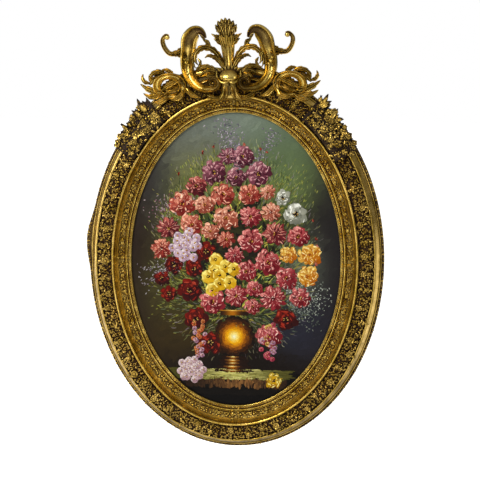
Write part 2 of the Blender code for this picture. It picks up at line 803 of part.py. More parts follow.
strainer_out = SIGHT_LIP - CANVAS_TURN
strainer_back = STRAINER_FRONT - STRAINER_THICKNESS
ring = oval_band(strainer_out - STRAINER_BAR, strainer_out, strainer_back, STRAINER_FRONT)
bar = block(
    SIGHT_A + strainer_out - STRAINER_BAR * 0.8,
    STRAINER_BAR / 2,
    strainer_back + CROSSBAR_INSET / 4,
    STRAINER_FRONT - CROSSBAR_INSET,
)
strainer = finished_object("strainer", ring, "strainer_pine")
combine(strainer, finished_object("crossbar", bar, "strainer_pine"), "UNION")
settle(strainer)

crest = carved("crest", crest_bodies(), "gilded_crest", CREST_TRIANGLES)
combine(crest, seat_cutter(), "DIFFERENCE")
settle(crest)
for name, side, to_deg, seed in (
    ("spray_right", 1, SPRAY_RIGHT_TO_DEG, 3),
    ("spray_left", -1, SPRAY_LEFT_TO_DEG, 8),
):
    cluster = spray(name, side, to_deg, seed)
    combine(cluster, seat_cutter(), "DIFFERENCE")
    settle(cluster)
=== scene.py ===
# %% [markdown]
# # Oval gilt frame with a flower painting
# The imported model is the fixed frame: every look piece goes where its node is. The pieces
# could be modelled upright in place, but carving is easier to think of lying flat. So each
# is modelled on a bench, with the middle of the oval at the origin, and is then stood up
# against the wall. Lengths are typed in millimetres and turned into metres.

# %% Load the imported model
import random
from math import atan2, cos, degrees, exp, hypot, pi, radians, sin, sqrt

import bmesh
import bpy
import numpy as np
from mathutils import Matrix, Vector


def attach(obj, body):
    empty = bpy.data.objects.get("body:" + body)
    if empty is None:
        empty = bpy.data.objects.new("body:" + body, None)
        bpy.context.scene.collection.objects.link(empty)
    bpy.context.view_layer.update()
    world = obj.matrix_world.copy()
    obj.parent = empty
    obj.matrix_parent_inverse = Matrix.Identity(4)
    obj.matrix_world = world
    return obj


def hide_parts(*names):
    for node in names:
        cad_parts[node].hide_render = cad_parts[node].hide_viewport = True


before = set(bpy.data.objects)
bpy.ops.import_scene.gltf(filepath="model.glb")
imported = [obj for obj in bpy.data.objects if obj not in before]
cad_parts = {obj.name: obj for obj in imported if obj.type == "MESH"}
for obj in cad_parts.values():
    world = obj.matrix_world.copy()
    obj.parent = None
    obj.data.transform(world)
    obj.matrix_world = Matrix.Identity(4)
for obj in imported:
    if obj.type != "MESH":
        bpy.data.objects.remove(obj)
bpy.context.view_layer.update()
MM = 0.001
SIGHT_A, SIGHT_B = 0.245, 0.345  # half width and half height of the sight opening
HANG_HEIGHT = 0.399  # from the middle of the sight opening up to the origin
CANVAS_TOP, CANVAS_THICK = 18.05, 1.5  # above the wall, in millimetres
FRAME_OUT = 101  # the frame's outer edge, measured from the sight edge, in millimetres
print("nodes", sorted(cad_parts))

# %% [markdown]
# ## Bench tools
# The bench has x across, y up the picture and z as height above the wall. A frame maker
# measures outward from the sight edge, so places on the oval are given the same way: an
# angle, and an offset square to the edge. Equal angles would crowd the motifs at the top
# and the foot, so they are spaced by equal lengths instead.

# %% Bench tools
def only(obj):
    """Make one object the whole selection."""
    bpy.ops.object.select_all(action="DESELECT")
    obj.select_set(True)
    bpy.context.view_layer.objects.active = obj
    return obj


def start(name, primitive, **settings):
    """Add a primitive with nothing else selected, and name it."""
    bpy.ops.object.select_all(action="DESELECT")
    primitive(**settings)
    bpy.context.object.name = name
    return bpy.context.object


OUTWARD = (bpy.ops.mesh.normals_make_consistent, {"inside": False})


def edit(obj, *steps):
    """Run operators on the whole of an object in edit mode."""
    only(obj)
    bpy.ops.object.mode_set(mode="EDIT")
    for operator, settings in steps:
        bpy.ops.mesh.select_all(action="SELECT")
        operator(**settings)
    bpy.ops.object.mode_set(mode="OBJECT")
    return obj


def stand(obj):
    """Stand a finished bench piece up in the place of its node."""
    up = Matrix.Translation((0, 0, -HANG_HEIGHT)) @ Matrix.Rotation(pi / 2, 4, "X")
    obj.data.transform(up)
    obj.data.update()
    return obj


def oval(angles, offset):
    """Points, outward directions and forward directions along a parallel of the oval."""
    t = np.atleast_1d(np.asarray(angles, float))
    point = np.stack([SIGHT_A * np.cos(t), SIGHT_B * np.sin(t)], 1)
    out = np.stack([np.cos(t) / SIGHT_A, np.sin(t) / SIGHT_B], 1)
    out /= np.linalg.norm(out, axis=1)[:, None]
    return point + out * offset * MM, out, np.stack([-out[:, 1], out[:, 0]], 1)


def even(count, offset, start=0.0):
    """Angles that divide a parallel of the oval into equal lengths."""
    fine = np.linspace(0, 2 * pi, 14401)
    points = oval(fine, offset)[0]
    run = np.concatenate([[0], np.cumsum(np.linalg.norm(np.diff(points, axis=0), axis=1))])
    wanted = (np.arange(count) + start) / count * run[-1]
    return np.interp(wanted, run, fine)


def seat(angle, offset, height, turn=0.0, tilt=0.0, scale=1.0, lift=0.0):
    """Matrix that puts a motif on the oval: its y points outward, its z off the wall."""
    point, out, forward = (value[0] for value in oval(angle, offset))
    base = Matrix((
        (forward[0] * -1, out[0], 0, point[0]),
        (forward[1] * -1, out[1], 0, point[1]),
        (0, 0, 1, height * MM),
        (0, 0, 0, 1),
    ))
    lean = Matrix.Rotation(radians(tilt), 4, "X") @ Matrix.Rotation(radians(turn), 4, "Z")
    rise = Matrix.Rotation(radians(lift), 4, "X")
    return base @ lean @ rise @ Matrix.Diagonal((scale, scale, scale, 1))

# %% [markdown]
# ## Motifs
# Carved and cast ornament repeats: a shop keeps a few moulds and lays their casts many
# times. A motif could be copied as an object each time, but thousands of objects are slow.
# So it is lifted off the bench as plain arrays, laid by matrices, and joined at the end.

# %% Motifs
def take(obj, patina=None):
    """Lift a modelled motif off the bench as arrays, with the patina of each point."""
    mesh = obj.data
    points = np.array([v.co for v in mesh.vertices])
    faces = [tuple(p.vertices) for p in mesh.polygons]
    if patina is None:
        top = points[:, 2].max()
        patina = np.clip(1.15 - 1.3 * points[:, 2] / top, 0, 1) ** 1.2
    bpy.data.objects.remove(obj, do_unlink=True)
    return points, faces, np.broadcast_to(patina, len(points)).astype(float)


def clean(motif, share, base=0.0):
    """The motif with its glaze thinned to a share, over a base that lies everywhere."""
    points, faces, patina = motif
    return points, faces, np.clip(base + patina * share, 0, 1)


def copies(motif, places):
    """The motif at each of the places, as one set of arrays."""
    points, faces, patina = motif
    flat = np.concatenate([points, np.ones((len(points), 1))], 1)
    all_points = [flat @ np.array(place)[:3].T for place in places]
    all_faces = []
    for k, place in enumerate(places):
        step = k * len(points)
        flip = place.to_3x3().determinant() < 0
        for face in faces:
            face = tuple(v + step for v in face)
            all_faces.append(face[::-1] if flip else face)
    return np.concatenate(all_points), all_faces, np.tile(patina, len(places))


def assemble(name, parts, smooth_deg=50):
    """One mesh object from several sets of arrays, with patina as a point attribute."""
    points, faces, patina = [], [], []
    count = 0
    for part_points, part_faces, part_patina in parts:
        points.append(part_points)
        faces += [tuple(v + count for v in face) for face in part_faces]
        patina.append(part_patina)
        count += len(part_points)
    mesh = bpy.data.meshes.new(name)
    mesh.from_pydata(np.concatenate(points).tolist(), [], faces)
    mesh.attributes.new("patina", "FLOAT", "POINT").data.foreach_set(
        "value", np.concatenate(patina).astype(np.float32)
    )
    obj = bpy.data.objects.new(name, mesh)
    bpy.context.scene.collection.objects.link(obj)
    only(obj)
    bpy.ops.object.shade_smooth_by_angle(angle=radians(smooth_deg))
    return obj

# %% [markdown]
# ## Delivery
# Every finished piece rides on the one body, stands for its imported node and takes its
# finish, so these steps are kept in one place.

# %% Delivery
def deliver(obj, material, slot, *nodes):
    """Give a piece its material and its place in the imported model."""
    obj.data.materials.clear()
    obj.data.materials.append(material)
    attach(obj, "root")
    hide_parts(*nodes)
    print(obj.name, sum(len(p.vertices) - 2 for p in obj.data.polygons), "triangles")

# %% [markdown]
# ## Node tools
# A finish is a tree of shader nodes. They could be dragged together by hand, but in a
# script it is clearer when one small function adds a node with its settings and links,
# because each material then reads from top to bottom like a recipe. Colours are typed as
# sRGB codes, as a paint chart gives them, and turned linear in one place.

# %% Node tools
TIMES, PLUS, MINUS, TIMES_PLUS = (
    {"operation": name} for name in ("MULTIPLY", "ADD", "SUBTRACT", "MULTIPLY_ADD"))
CLAMP = {"use_clamp": True}
COLOURS = {"data_type": "RGBA"}
SOFT_STEP = {"interpolation_type": "SMOOTHSTEP"}


def linear(code):
    """Linear colour of an sRGB hex code."""
    parts = [int(code[k:k + 2], 16) / 255 for k in (0, 2, 4)]
    return tuple(c / 12.92 if c <= 0.04045 else ((c + 0.055) / 1.055) ** 2.4 for c in parts) + (1,)


def feed(tree, owner, **links):
    """Give inputs a socket, a number or a colour code; i0, i1 and so on count the inputs."""
    for name, value in links.items():
        key = int(name[1:]) if name[0] == "i" and name[1:].isdigit() else name.replace("_", " ")
        if isinstance(value, bpy.types.NodeSocket):
            tree.links.new(value, owner.inputs[key])
        else:
            owner.inputs[key].default_value = linear(value) if isinstance(value, str) else value


def node(tree, kind, settings=None, out=0, **links):
    """Add a node with its settings, links and colour stops, and give one of its outputs."""
    made = tree.nodes.new("ShaderNode" + kind)
    settings = dict(settings or {})
    stops = settings.pop("stops", [])
    for name, value in settings.items():
        setattr(made, name, value)
    while stops and len(made.color_ramp.elements) < len(stops):
        made.color_ramp.elements.new(0.5)
    for k, (position, code) in enumerate(stops):
        made.color_ramp.elements[k].position = position
        made.color_ramp.elements[k].color = linear(code)
    feed(tree, made, **links)
    return made.outputs[out]


def new_material(name):
    """Empty material with its tree, shader and object coordinates."""
    made = bpy.data.materials.new(name)
    made.use_nodes = True
    tree = made.node_tree
    return made, tree, tree.nodes["Principled BSDF"], node(tree, "TexCoord", None, "Object")

# %% [markdown]
# ## Gilding
# The frame is old gold leaf on a dark ground: bright on rubbed edges, olive in the half
# light, and brown-black where umber glaze has settled. The glaze could be painted on by
# hand. Here each motif carries a patina value, and the shelter of every hollow adds to it,
# so that the same finish fits all the carving; noise breaks it up as a brush and a cloth
# would.

# %% Gilding
CLOUDS, BRUSHING, FLECKS = 38.0, 420.0, 1500.0  # noise cells a metre: 26, 2.4 and 0.7 mm


def gilding(name, bright, deep, glaze, shelter=0.010, glaze_share=1.0, pool=1.25):
    """Aged leaf: colours of rubbed gold, shaded gold and the glaze in the hollows."""
    made, tree, shader, where = new_material(name)
    cloudy = node(tree, "TexNoise", Vector=where, Scale=CLOUDS, Detail=4.0, Roughness=0.6)
    fine = node(tree, "TexNoise", Vector=where, Scale=BRUSHING, Detail=5.0, Roughness=0.65)
    speck = node(tree, "TexNoise", Vector=where, Scale=FLECKS, Detail=2.0, Roughness=0.6)
    patina = node(tree, "Attribute", {"attribute_name": "patina"}, "Fac")
    shade = node(tree, "AmbientOcclusion", {"samples": 6}, "AO", Distance=shelter)
    hollow = node(tree, "Math", MINUS, i0=1.0, i1=shade)
    # Glaze gathers where both the carving and the shelter are deep.
    amount = node(tree, "Math", TIMES_PLUS, i0=hollow, i1=pool, i2=-0.16)
    amount = node(tree, "Math", PLUS, i0=amount,
                  i1=node(tree, "Math", TIMES, i0=patina, i1=0.85 * glaze_share))
    broken = node(tree, "Math", TIMES_PLUS, i0=fine, i1=0.7, i2=-0.35)
    broad = node(tree, "Math", TIMES_PLUS, i0=cloudy, i1=0.5, i2=-0.25)
    amount = node(tree, "Math", PLUS, i0=amount, i1=node(tree, "Math", PLUS, i0=broken, i1=broad))
    mask = node(tree, "MapRange", SOFT_STEP, Value=amount, From_Min=0.12, From_Max=0.85)
    # The leaf itself drifts between rubbed yellow and a deeper olive gold.
    drift = node(tree, "MapRange", Value=cloudy, From_Min=0.35, From_Max=0.68)
    leaf = node(tree, "Mix", COLOURS, 2, i0=drift, i6=bright, i7=deep)
    # Rub-through: the warm clay under the leaf shows in small flecks, drawn coarser than
    # the real pinholes so that they show.
    fleck = node(tree, "MapRange", Value=speck, From_Min=0.66, From_Max=0.74)
    fleck = node(tree, "Math", TIMES, i0=fleck, i1=0.35)
    leaf = node(tree, "Mix", COLOURS, 2, i0=fleck, i6=leaf, i7="7A4A1C")
    # Painted shade: in the hollows the leaf is deepened and warmed toward its own colour squared, as gold
    # lit by gold is deeper and warmer than gold seen in the open.
    depth = node(tree, "Math", TIMES | CLAMP, i0=hollow, i1=1.5)
    twice = node(tree, "Mix", COLOURS | {"blend_type": "MULTIPLY"}, 2, i0=0.35, i6=leaf, i7=leaf)
    leaf = node(tree, "Mix", COLOURS, 2, i0=depth, i6=leaf, i7=twice)
    colour = node(tree, "Mix", COLOURS, 2, i0=mask, i6=leaf, i7=glaze)
    # Glaze is duller than leaf and hides its metal.
    rough = node(tree, "Math", TIMES_PLUS, i0=mask, i1=0.34, i2=0.27)
    rough = node(tree, "Math", PLUS | CLAMP, i0=rough, i1=node(tree, "Math", TIMES, i0=broken, i1=0.25))
    metal = node(tree, "Math", TIMES_PLUS, i0=mask, i1=-0.3, i2=1.0)
    low = node(tree, "Bump", Height=cloudy, Strength=0.25, Distance=0.0015)
    high = node(tree, "Bump", Height=fine, Normal=low, Strength=0.28, Distance=0.0005)
    # The flat back was never gilded: bare wood under a thin brown wash, with its grain.
    inward = node(tree, "SeparateXYZ", None, 1, Vector=where)
    back = node(tree, "MapRange", Value=inward, From_Min=-0.0009, From_Max=-0.0004)
    stretched = node(tree, "Mapping", Vector=where, Scale=(60.0, 60.0, 5.0))
    grain = node(tree, "TexNoise", Vector=stretched, Scale=2.0, Detail=6.0, Roughness=0.7)
    wash = node(tree, "ValToRGB", {"stops": [(0.3, "4A3018"), (0.5, "6E4C28"), (0.72, "8A6538")]},
                Fac=grain)
    rougher = node(tree, "Math", TIMES, i0=back, i1=0.35)
    feed(tree, shader, Normal=high,
         Base_Color=node(tree, "Mix", COLOURS, 2, i0=back, i6=colour, i7=wash),
         Roughness=node(tree, "Math", PLUS | CLAMP, i0=rough, i1=rougher),
         Metallic=node(tree, "Math", MINUS | CLAMP, i0=metal, i1=back))
    return made


# The frame is deeply glazed, the liner and the crest are rubbed brighter, and the sprays
# hold most glaze between their leaves.
frame_gold = gilding("aged leaf on the frame", "DAB65E", "9C7C22", "260F01", 0.007)
liner_gold = gilding("aged leaf on the liner", "E8C868", "B08C26", "3A1C04", 0.004, 0.8)
crest_gold = gilding("aged leaf on the crest", "E0C068", "987E2C", "3A2208", 0.008, 0.62, 0.9)
spray_gold = gilding("aged leaf on the sprays", "D2AE56", "846618", "1E0D02", 0.008, 1.12, 1.45)
print("gilt finishes", frame_gold.name, liner_gold.name, crest_gold.name, spray_gold.name)

# %% [markdown]
# ## Plain mouldings
# The frame and the liner are run mouldings: one section all the way round. They could be
# turned or extruded ring by ring; here the section is drawn once and swept along the sight
# edge, as a joiner runs a profile. Each point is its offset, its height above the wall and
# how much glaze it holds.

# %% Moulding sections
FRAME_SECTION = [
    (7, 0, 0.3), (7, 18.05, 0.5), (36.3, 18.05, 0.9), (36.3, 48.2, 0.7), (36.55, 50.2, 0.35),
    (37.1, 51.7, 0.1), (38.1, 52.8, 0.0), (39.5, 53.2, 0.0), (40.9, 52.9, 0.0), (42.0, 51.9, 0.1),
    (42.8, 50.3, 0.35), (43.2, 47.4, 0.75), (43.7, 44.9, 1.0), (45.4, 44.6, 1.0), (48.5, 45.4, 1.0),
    (54.0, 46.2, 1.0), (61.0, 46.2, 1.0), (68.0, 45.0, 1.0), (73.5, 42.4, 1.0), (76.0, 39.6, 1.0),
    (76.9, 39.6, 0.8), (77.4, 42.0, 0.25), (78.3, 43.1, 0.0), (79.6, 43.2, 0.0), (80.6, 42.3, 0.15),
    (81.1, 40.6, 0.7), (81.7, 39.4, 0.75), (82.6, 38.8, 0.25), (83.9, 36.6, 0.28), (85.5, 32.9, 0.32),
    (87.3, 29.2, 0.34), (89.2, 25.6, 0.34), (90.6, 23.1, 0.25), (91.2, 21.7, 0.85), (91.7, 21.5, 0.85),
    (92.2, 22.0, 0.2), (93.0, 21.9, 0.0), (93.9, 20.9, 0.1), (94.5, 19.2, 0.6), (95.1, 17.6, 1.0),
    (96.6, 17.4, 1.0), (98.4, 17.0, 1.0), (99.8, 15.2, 1.0), (100.7, 12.9, 0.8), (101, 10.5, 0.6),
    (101, 0, 0.5),
]
LINER_SECTION = [
    (0, 18.35, 0.9), (0, 21.6, 0.6), (0.3, 23.2, 0.25), (0.9, 24.1, 0.5), (1.6, 24.2, 1.0),
    (4.0, 24.4, 1.0), (6.9, 24.4, 1.0), (8.2, 24.1, 1.0), (8.8, 25.2, 0.6), (9.2, 26.4, 0.15),
    (9.8, 27.4, 0.0), (10.6, 27.5, 0.0), (11.1, 26.7, 0.25), (11.4, 26.2, 0.85), (11.7, 27.2, 0.3),
    (12.2, 28.9, 0.0), (12.9, 29.5, 0.0), (13.6, 28.9, 0.05), (14.1, 26.9, 0.5), (14.7, 25.2, 1.0),
    (18.0, 25.5, 1.0), (23.0, 26.5, 1.0), (27.5, 27.8, 1.0), (29.6, 29.4, 0.9), (30.6, 32.0, 0.5),
    (31.6, 33.2, 0.75), (32.6, 35.0, 0.8), (33.8, 38.4, 0.75), (34.8, 42.2, 0.6), (35.6, 45.8, 0.4),
    (36, 47.5, 0.3), (36, 18.35, 0.9),
]

# %% [markdown]
# A bevelled curve does the sweep. Its circle is scaled to the sight ellipse before the
# section is hung on it, so the section keeps its true width all round.

# %% Running a moulding
def run_moulding(name, section, stations):
    """Run a closed section round the sight edge, modelled as a curve and turned to mesh."""
    data = bpy.data.curves.new(name + "_section", "CURVE")
    line = data.splines.new("POLY")
    line.points.add(len(section) - 1)
    for point, (offset, height, glaze) in zip(line.points, section):
        point.co = (-offset * MM, height * MM, 0, 1)
    line.use_cyclic_u = True
    shape = bpy.data.objects.new(name + "_section", data)
    bpy.context.scene.collection.objects.link(shape)
    path = start(name, bpy.ops.curve.primitive_bezier_circle_add, radius=1)
    path.scale = (SIGHT_A, SIGHT_B, 1)
    bpy.ops.object.transform_apply(scale=True)
    for point in path.data.splines[0].bezier_points:
        point.radius = 1
    path.data.dimensions = "2D"
    path.data.fill_mode = "NONE"
    path.data.resolution_u = stations
    path.data.render_resolution_u = stations
    path.data.bevel_mode = "OBJECT"
    path.data.bevel_object = shape
    bpy.ops.object.convert(target="MESH")
    run = bpy.context.object
    bpy.data.objects.remove(shape, do_unlink=True)
    return edit(run, (bpy.ops.mesh.remove_doubles, {"threshold": 1e-6}), OUTWARD)

# %% [markdown]
# The sweep loses which point of the section each point came from, so the glaze is found
# again from its place: how far it lies from the sight edge, and how high.

# %% Glaze and swell
def offsets_of(points):
    """Angle and offset of bench points, found by walking to the foot of each normal."""
    angle = np.arctan2(points[:, 1] / SIGHT_B, points[:, 0] / SIGHT_A)
    for step in range(12):
        edge, out, forward = oval(angle, 0)
        reach = points[:, :2] - edge
        angle = angle + (reach * forward).sum(1) / 0.30
    edge, out, forward = oval(angle, 0)
    return angle, ((points[:, :2] - edge) * out).sum(1) / MM


def section_patina(points, section):
    """Glaze of swept points, from the nearest point of the section."""
    angle, offset = offsets_of(points)
    table = np.array(section)
    gap = (offset[:, None] - table[:, 0]) ** 2 + (points[:, 2:3] / MM - table[:, 1]) ** 2
    return table[gap.argmin(1), 2]


def swelled(points):
    """Widen the border where the left side bulges."""
    angle, offset = offsets_of(points)
    run = (SIGHT_B * np.sin(angle) - 0.038) / 0.072
    bulge = 9 * np.cos(np.clip(run, -1, 1) * pi / 2) ** 2
    bulge *= (np.cos(angle) < 0) * np.clip((offset - 94.5) / 1.5, 0, 1)
    moved = points.copy()
    moved[:, :2] += oval(angle, 0)[1] * bulge[:, None] * MM
    return moved

# %% [markdown]
# ## Camera
# The photograph was taken a little above the middle of the picture and from its right. The
# place could be guessed by eye; here it was solved from the oval's outline, which a tilted
# view squeezes and leans in a known way.

# %% Camera
PHOTO_WIDTH = 480  # pixels
FOCAL_LENGTH = 1400  # pixels
SENSOR = 36


def add_camera():
    """Camera a little above the middle and to the right of it, looking at the picture."""
    data = bpy.data.cameras.new("view")
    data.sensor_width = SENSOR
    data.lens = SENSOR * FOCAL_LENGTH / PHOTO_WIDTH
    camera = bpy.data.objects.new("view", data)
    bpy.context.scene.collection.objects.link(camera)
    yaw, pitch, roll = radians(6.09), radians(-8.07), radians(0.24)
    look = Matrix.Rotation(yaw, 4, "Z") @ Matrix.Rotation(pi / 2 + pitch, 4, "X")
    stood = Matrix.Translation((0.353, -3.2255, 0.1075))
    camera.matrix_world = stood @ look @ Matrix.Rotation(roll, 4, "Z")
    bpy.context.scene.camera = camera
    print("lens", round(data.lens, 1))


add_camera()

# %% [markdown]
# ## Studio
# Gold leaf shows what it mirrors, so the light matters as much as the finish. Lamps alone
# leave metal black between them, and an even sky makes it flat. This surround is dim at
# eye level and brighter overhead, and four soft lamps give the mouldings their bright
# lines. The pale floor glows behind the picture, as paper lit from behind.

# %% Studio
def area(name, where, aim, size, power):
    """Soft rectangular light aimed at a point."""
    data = bpy.data.lights.new(name, "AREA")
    data.shape = "RECTANGLE"
    data.size, data.size_y = size
    data.energy = power
    light = bpy.data.objects.new(name, data)
    bpy.context.scene.collection.objects.link(light)
    light.location = where
    light.rotation_euler = (Vector(aim) - Vector(where)).to_track_quat("-Z", "Y").to_euler()


def pale_floor():
    """Matt pale floor, lit from within on the far side of the picture."""
    floor = start("floor", bpy.ops.mesh.primitive_grid_add, x_subdivisions=8, y_subdivisions=8,
                  size=30, location=(0, 4, -1.15))
    made, tree, shader, where = new_material("pale floor")
    drift = node(tree, "TexNoise", Vector=where, Scale=3.0, Detail=3.0)
    tone = node(tree, "ValToRGB", {"stops": [(0.3, "F4F4F2"), (0.7, "FAFAF9")]}, Fac=drift)
    far = node(tree, "SeparateXYZ", None, 1, Vector=where)
    glow = node(tree, "MapRange", SOFT_STEP, Value=far, From_Min=-3.9, From_Max=-3.1, To_Max=1.0)
    feed(tree, shader, Base_Color=tone, Roughness=0.9, Emission_Color=tone, Emission_Strength=glow)
    floor.data.materials.append(made)


def surround():
    """White to the camera, and a soft sky to everything else."""
    world = bpy.data.worlds.new("surround")
    world.use_nodes = True
    tree = world.node_tree
    up = node(tree, "SeparateXYZ", None, 2, Vector=node(tree, "TexCoord", None, "Generated"))
    level = node(tree, "MapRange", Value=up, From_Min=-0.2, From_Max=0.8, To_Min=0.05, To_Max=0.50)
    seen = node(tree, "LightPath", None, "Is Camera Ray")
    sky = node(tree, "Mix", COLOURS, 2, i0=seen, i6=level, i7=(1.0, 1.0, 1.0, 1))
    feed(tree, tree.nodes["Background"], Color=sky)
    bpy.context.scene.world = world
    bpy.context.scene.view_settings.view_transform = "Standard"


pale_floor()
surround()
for lamp in (("key", (-1.5, -2.2, 1.6), (0, 0, -0.35), (1.2, 1.2), 78),
             ("side", (2.2, -1.6, 0.7), (0, 0, -0.3), (0.8, 1.4), 14),
             ("left", (-2.2, 0.25, 0.1), (-0.2, 0, -0.4), (0.8, 1.8), 22),
             ("low", (-0.6, -2.4, -0.9), (0, 0, -0.5), (1.6, 0.5), 7)):
    area(*lamp)
    print("lamp", lamp[0], lamp[-1], "watts")

# %% [markdown]
# ## Carved flowers
# The band carries roses, daisies and half-open cups. A carver draws the outline and sinks
# the gaps between the petals. Here a small disc is drawn out ring by ring, and the points
# between its petals are pulled in and pressed down, which needs only a few dozen faces.

# %% Flowers
def points_of(obj):
    """The object's points as an array."""
    return np.array([v.co for v in obj.data.vertices])


def shape(obj, points):
    """Put the object's points where the array says."""
    obj.data.vertices.foreach_set("co", np.asarray(points, np.float32).ravel())
    obj.data.update()
    return obj


def wheel(name, petals, per_petal, rings):
    """Flower of rings: radius, height, how far its clefts pull in and how far they sink."""
    count = petals * per_petal
    obj = start(name, bpy.ops.mesh.primitive_circle_add, vertices=count, radius=rings[0][0] * MM,
                fill_type="NGON")
    bpy.ops.object.mode_set(mode="EDIT")
    bpy.ops.mesh.select_mode(type="VERT")
    bpy.ops.mesh.select_all(action="SELECT")
    bpy.ops.transform.translate(value=(0, 0, rings[0][1] * MM))
    bpy.ops.mesh.select_all(action="DESELECT")
    bpy.ops.mesh.select_non_manifold()
    for before, ring in zip(rings, rings[1:]):
        rise = (0, 0, (ring[1] - before[1]) * MM)
        bpy.ops.mesh.extrude_edges_move(TRANSFORM_OT_translate={"value": rise})
        grow = ring[0] / before[0]
        bpy.ops.transform.resize(value=(grow, grow, 1), center_override=(0, 0, 0))
    bpy.ops.object.mode_set(mode="OBJECT")
    points = points_of(obj)
    around = np.round(np.arctan2(points[:, 0], points[:, 1]) / (2 * pi) * count).astype(int)
    reach = np.hypot(points[:, 0], points[:, 1]) / MM
    which = np.abs(reach[:, None] - np.array([r[0] for r in rings])) + np.abs(
        points[:, 2:3] / MM - np.array([r[1] for r in rings]))
    which = which.argmin(1)
    notch = 0.5 + 0.5 * np.cos(2 * pi * around / per_petal)
    pull = 1 - np.array([r[2] for r in rings])[which] * notch
    points[:, :2] *= pull[:, None]
    points[:, 2] -= np.array([r[3] for r in rings])[which] * notch * MM
    return shape(obj, points)

# %% [markdown]
# ## Beads, leaves and curls
# Beads start as low balls cut in half, leaves as small grids bent to their arch, and curls
# as short wires. Each is the plainest shape that still casts the right shadow at its size.

# %% Beads, leaves and curls
def dome(name, across, height, sides=8, rows=5, squash=1.0):
    """Bead: a low ball whose lower half is cut away."""
    obj = start(name, bpy.ops.mesh.primitive_uv_sphere_add, segments=sides, ring_count=rows, radius=1)
    lower = {"plane_co": (0, 0, -0.3), "plane_no": (0, 0, 1), "clear_inner": True}
    size = (across / 2 * MM, across / 2 * squash * MM, height * MM)
    return edit(obj, (bpy.ops.mesh.bisect, lower),
                (bpy.ops.transform.resize, {"value": size, "center_override": (0, 0, 0)}))


def leaf(name, length, width, arch, rows=6, columns=4, teeth=0, fold=0.35, droop=0.5):
    """Leaf along +y from its stalk, arched, with a sunk middle vein and toothed edges."""
    obj = start(name, bpy.ops.mesh.primitive_grid_add, x_subdivisions=columns, y_subdivisions=rows,
                size=2)
    points = points_of(obj)
    x, run = points[:, 0], (points[:, 1] + 1) / 2
    outline = np.sin(np.clip(run * 0.93 + 0.05, 0, 1) ** 0.8 * pi) ** 0.75
    if teeth:
        outline = outline * (1 - 0.34 * ((run * teeth) % 1.0) * (np.abs(x) > 0.9))
    rise = arch * (np.sin(run * pi * 0.86 + 0.12)) - droop * arch * run ** 3
    rise = rise - arch * (0.95 * np.abs(x) ** 2.4)
    rise = rise - fold * arch * np.exp(-(x / 0.22) ** 2)
    shaped = np.stack([x * width / 2 * outline, run * length, rise], 1) * MM
    return shape(obj, shaped)


def tendril(name, radius, thick, turns=0.8):
    """Small curl of round wire, lying flat and rising at its eye."""
    obj = start(name, bpy.ops.curve.primitive_nurbs_path_add)
    spline = obj.data.splines[0]
    spline.points.add(4)
    for k, point in enumerate(spline.points):
        share = k / (len(spline.points) - 1)
        angle = turns * 2 * pi * share
        reach = radius * (1 - 0.62 * share)
        point.co = (reach * cos(angle) * MM, reach * sin(angle) * MM,
                    (0.5 + 1.6 * share) * thick * MM, 1)
        point.radius = 0.75 + 0.6 * share
    obj.data.resolution_u = 2
    obj.data.bevel_depth = thick * MM
    obj.data.bevel_resolution = 1
    obj.data.use_fill_caps = True
    bpy.ops.object.convert(target="MESH")
    return bpy.context.object

# %% [markdown]
# ## The box of motifs
# Each ring of a flower is its radius, its height, and how far its clefts pull in and sink.
# Every motif is modelled once here and then only copied.

# %% Box of motifs
ROSE = [(1.6, 5.6, 0, 0), (3.0, 5.0, 0, 0), (3.7, 3.2, 0, 0), (5.6, 3.4, 0.06, 0.3),
        (8.2, 4.6, 0.10, 1.0), (10.4, 5.2, 0.16, 1.8), (11.8, 3.6, 0.2, 1.8), (11.2, -1.0, 0.2, 0)]
DAISY = [(1.3, 4.9, 0, 0), (2.9, 4.2, 0, 0), (3.4, 2.6, 0, 0), (5.6, 3.6, 0.06, 0.8),
         (8.6, 4.2, 0.12, 1.9), (10.8, 3.0, 0.3, 1.8), (10.2, -1.0, 0.3, 0)]
CUP = [(1.2, 6.0, 0, 0), (2.2, 5.2, 0, 0), (3.2, 5.8, 0.05, 0.5), (4.6, 6.2, 0.12, 1.6),
       (6.0, 4.6, 0.1, 1.6), (7.6, 4.8, 0.18, 2.0), (8.8, 3.0, 0.22, 1.6), (8.2, -1.0, 0.2, 0)]
rose = clean(take(wheel("rose", 5, 5, ROSE)), 0.9, 0.3)
daisy = clean(take(wheel("daisy", 8, 4, DAISY)), 0.9, 0.3)
cup = clean(take(wheel("cup", 6, 4, CUP)), 0.9, 0.3)
bead = take(dome("bead", 4.4, 2.6))
berry = take(dome("berry", 2.6, 2.0, 6, 4))
bud = take(dome("bud", 5.2, 3.6, 8, 6, 1.7))
broad_leaf = take(leaf("broad_leaf", 15, 9, 3.6, 7, 4, 3))
long_leaf = take(leaf("long_leaf", 19, 6.4, 3.0, 7, 4, 0))
small_leaf = clean(take(leaf("small_leaf", 8.6, 5.6, 2.6, 4, 2, 0, 0.2)), 0.55)
curl = take(tendril("curl", 5.2, 0.9))
comma = take(tendril("comma", 3.2, 0.7, 0.55))
MOTIFS = {"rose": rose, "daisy": daisy, "cup": cup, "broad": broad_leaf, "long": long_leaf,
          "small": small_leaf, "bead": bead, "seed": berry, "curl": curl, "bud": bud,
          "comma": comma}
print("motif faces", {kind: len(motif[1]) for kind, motif in MOTIFS.items()})

# %% [markdown]
# ## Carved band
# The band is a dense garland: flowers at a steady beat, leaves all round them, curls and
# berries between, and dark ground showing through. The photo is too coarse to place each
# motif by eye, so seeded chance lays them at the right size and density, and no two
# stretches are alike.

# %% Carved band
FLOWERS, BEAT = 57, 39.4  # flowers round the frame, and the millimetres between them
FLOWER_SEAT, LEAF_SEAT = 48.6, 46.6  # heights above the wall
LEAF_REACH = 6.5  # from the middle of a flower to the stalks of the leaves round it


